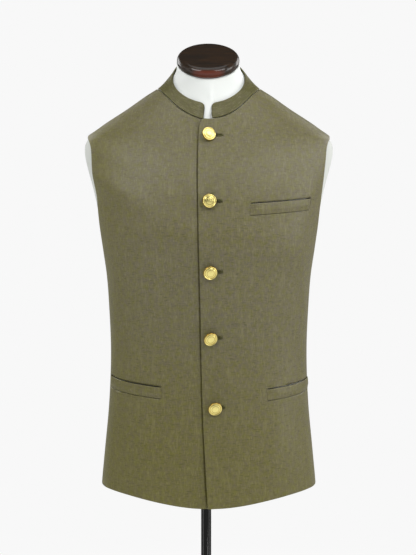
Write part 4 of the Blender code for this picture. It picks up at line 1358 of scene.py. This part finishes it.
base_profile = [
    (0.0, BASE_PLATE),
    (BORE, BASE_PLATE),
    (BORE, BASE_BOSS_HEIGHT),
    (BOSS - CHAMFER, BASE_BOSS_HEIGHT),
    (BOSS, BASE_BOSS_HEIGHT - CHAMFER),
    (BOSS + FILLET * 0.2, BASE_PLATE + FILLET * 0.6),
    (BOSS + FILLET, BASE_PLATE + CHAMFER),
    (BASE_RADIUS - FILLET, BASE_PLATE),
    (BASE_RADIUS - CHAMFER, BASE_PLATE - CHAMFER),
    (BASE_RADIUS, BASE_EDGE),
    (BASE_RADIUS - CHAMFER, 0.0),
    (0.0, 0.0),
]
socket_profile = [
    (0.0, SOCKET_TOP),
    (FLANGE_RADIUS - CHAMFER, SOCKET_TOP),
    (FLANGE_RADIUS, SOCKET_TOP - FLANGE / 2),
    (BOSS + FILLET * 0.3, SOCKET_TOP - FLANGE),
    (BOSS, SOCKET_TOP - FLANGE - FILLET * 0.5),
    (BOSS, SOCKET_TOP - SOCKET_LENGTH),
    (BORE, SOCKET_TOP - SOCKET_LENGTH),
    (BORE, SOCKET_TOP - FLANGE),
    (0.0, SOCKET_TOP - FLANGE),
]
pole_bottom = BASE_PLATE + SEAM_GAP
pole_top = SOCKET_TOP - FLANGE - SEAM_GAP
pole_profile = [(0.0, pole_top), (POLE_RADIUS, pole_top), (POLE_RADIUS, pole_bottom), (0.0, pole_bottom)]

for node, profile in (("base", base_profile), ("pole_socket", socket_profile), ("pole", pole_profile)):
    piece = turned(node + "_turned", rounded(profile, 0.0015), enamel, node)
    piece.location.x = POLE_X
    print(node, "reaches", round(max(point[0] for point in profile) * 1000), "mm out")

# %% [markdown]
# ## Camera, light and floor
#
# The camera stands a little over two metres away, at the height of the chest, and looks
# slightly down. Two softboxes in front light the cloth evenly, one on each side and one
# overhead draw the edges, and two behind give the rims a thin highlight. The side light is
# stronger at one side, so the chest and the waist get some shape.
#
# A black pole shows only what it reflects, so three small lights make its long glints.
# Light linking keeps them off everything else.
#
# The paper under the stand takes soft shadows and glows a little itself, and fades with
# distance into paper that only glows. That far paper is dimmer behind the form, so that
# less light grazes its edges. The world is dark, except where it is seen directly.

# %% Camera
LENS = 84.62
LOOKS_DOWN = 3.614  # degrees

camera_data = set_all(bpy.data.cameras.new("camera"), sensor_width=36.0, lens=LENS)
camera = new_object("camera", camera_data)
camera.location = (-0.0013, -2.2243, 0.8165)
camera.rotation_euler = (math.radians(90 - LOOKS_DOWN), 0.0, 0.0)
bpy.context.scene.camera = camera
print("camera lens", LENS, "mm")

# %% Lights
MIDDLE = (0.0, 0.0, 0.75)
POLE_MIDDLE = (POLE_X, 0.0, 0.20)
LIGHTS = [  # name, place, size in metres, watts
    ("softbox_right", (1.32, -1.57, 2.35), (1.2, 1.0), 27.2),
    ("softbox_left", (-1.32, -1.57, 2.35), (1.2, 1.0), 28.7),
    ("side_right", (2.47, -0.44, 1.42), (1.2, 1.4), 27.0),
    ("side_left", (-2.47, -0.44, 1.42), (1.2, 1.4), 5.0),
    ("overhead", (0.0, -0.30, 3.26), (1.6, 1.6), 13.5),
    ("back_right", (1.80, 1.52, 1.85), (1.2, 1.4), 22.0),
    ("back_left", (-1.80, 1.52, 1.85), (1.2, 1.4), 22.0),
    ("pole_glint_near_right", (0.318, -0.510, 0.045), (0.03, 0.09), 0.35),
    ("pole_glint_far_right", (0.560, -0.200, 0.110), (0.12, 0.20), 0.6),
    ("pole_glint_far_left", (-0.560, -0.200, 0.110), (0.12, 0.20), 0.6),
]

only_the_pole = bpy.data.collections.new("only_the_pole")
only_the_pole.objects.link(bpy.data.objects["pole_turned"])
for name, place, size, power in LIGHTS:
    for_pole = name.startswith("pole")
    data = bpy.data.lights.new(name, "AREA")
    set_all(data, shape="RECTANGLE", size=size[0], size_y=size[1], energy=power)
    light = new_object(name, data)
    light.location = place
    aim = Vector(POLE_MIDDLE if for_pole else MIDDLE) - Vector(place)
    light.rotation_euler = aim.to_track_quat("-Z", "Y").to_euler()
    if for_pole:
        light.visible_camera = False
        light.light_linking.receiver_collection = only_the_pole
print("lights:", len(LIGHTS))

# %% World and floor
FLOOR_RADIUS = 14.0
PAPER_GLOW = 0.72  # the paper under the stand is lit from below, like a product table
NEAR_PAPER = {1: 0.30, 2: 0.85}  # metres from the stand: takes shadows, and only glows
TURNS_DIM = {1: -0.3, 2: 0.3}  # metres from front to back over which the far paper dims

world = set_all(bpy.data.worlds.new("studio"), use_nodes=True)
bpy.context.scene.world = world
add = partial(add_node, world.node_tree)
seen = add("LightPath", {}, "Is Camera Ray")
backdrop = add("ColourMix", {0: seen, 6: "#3E3E3E", 7: "#F8F8F8"})
feed(world.node_tree.nodes["Background"], {"Color": backdrop})
bpy.context.scene.view_settings.view_transform = "Standard"

builder = bmesh.new()
bmesh.ops.create_circle(builder, cap_ends=True, segments=96, radius=FLOOR_RADIUS)
floor = new_object("floor", finished_mesh(builder, "floor"))
paper, add, shader, place = new_material("paper, pale and matt")
feed(shader, {
    "Base Color": "#8A8A8A",
    "Roughness": 0.9,
    "Emission Color": "#FFFFFF",
    "Emission Strength": PAPER_GLOW,
})
from_stand = add("VectorMath", {0: place}, "Value", operation="LENGTH")
far = add("Ease", {0: from_stand, **NEAR_PAPER})
behind = add("Ease", {0: add("SeparateXYZ", {0: place}, "Y"), **TURNS_DIM})
lit = add("ColourMix", {0: behind, 6: "#F9F9F9", 7: "#B3B3B3"})
seen = add("LightPath", {}, "Is Camera Ray")
glow = add("ColourMix", {0: seen, 6: lit, 7: "#F8F8F8"})
only_glows = add("Emission", {"Color": glow})
mixed = add("MixShader", {0: far, 1: shader.outputs["BSDF"], 2: only_glows})
feed(paper.node_tree.nodes["Material Output"], {"Surface": mixed})
floor.data.materials.append(paper)
print("floor", 2 * FLOOR_RADIUS, "m across")
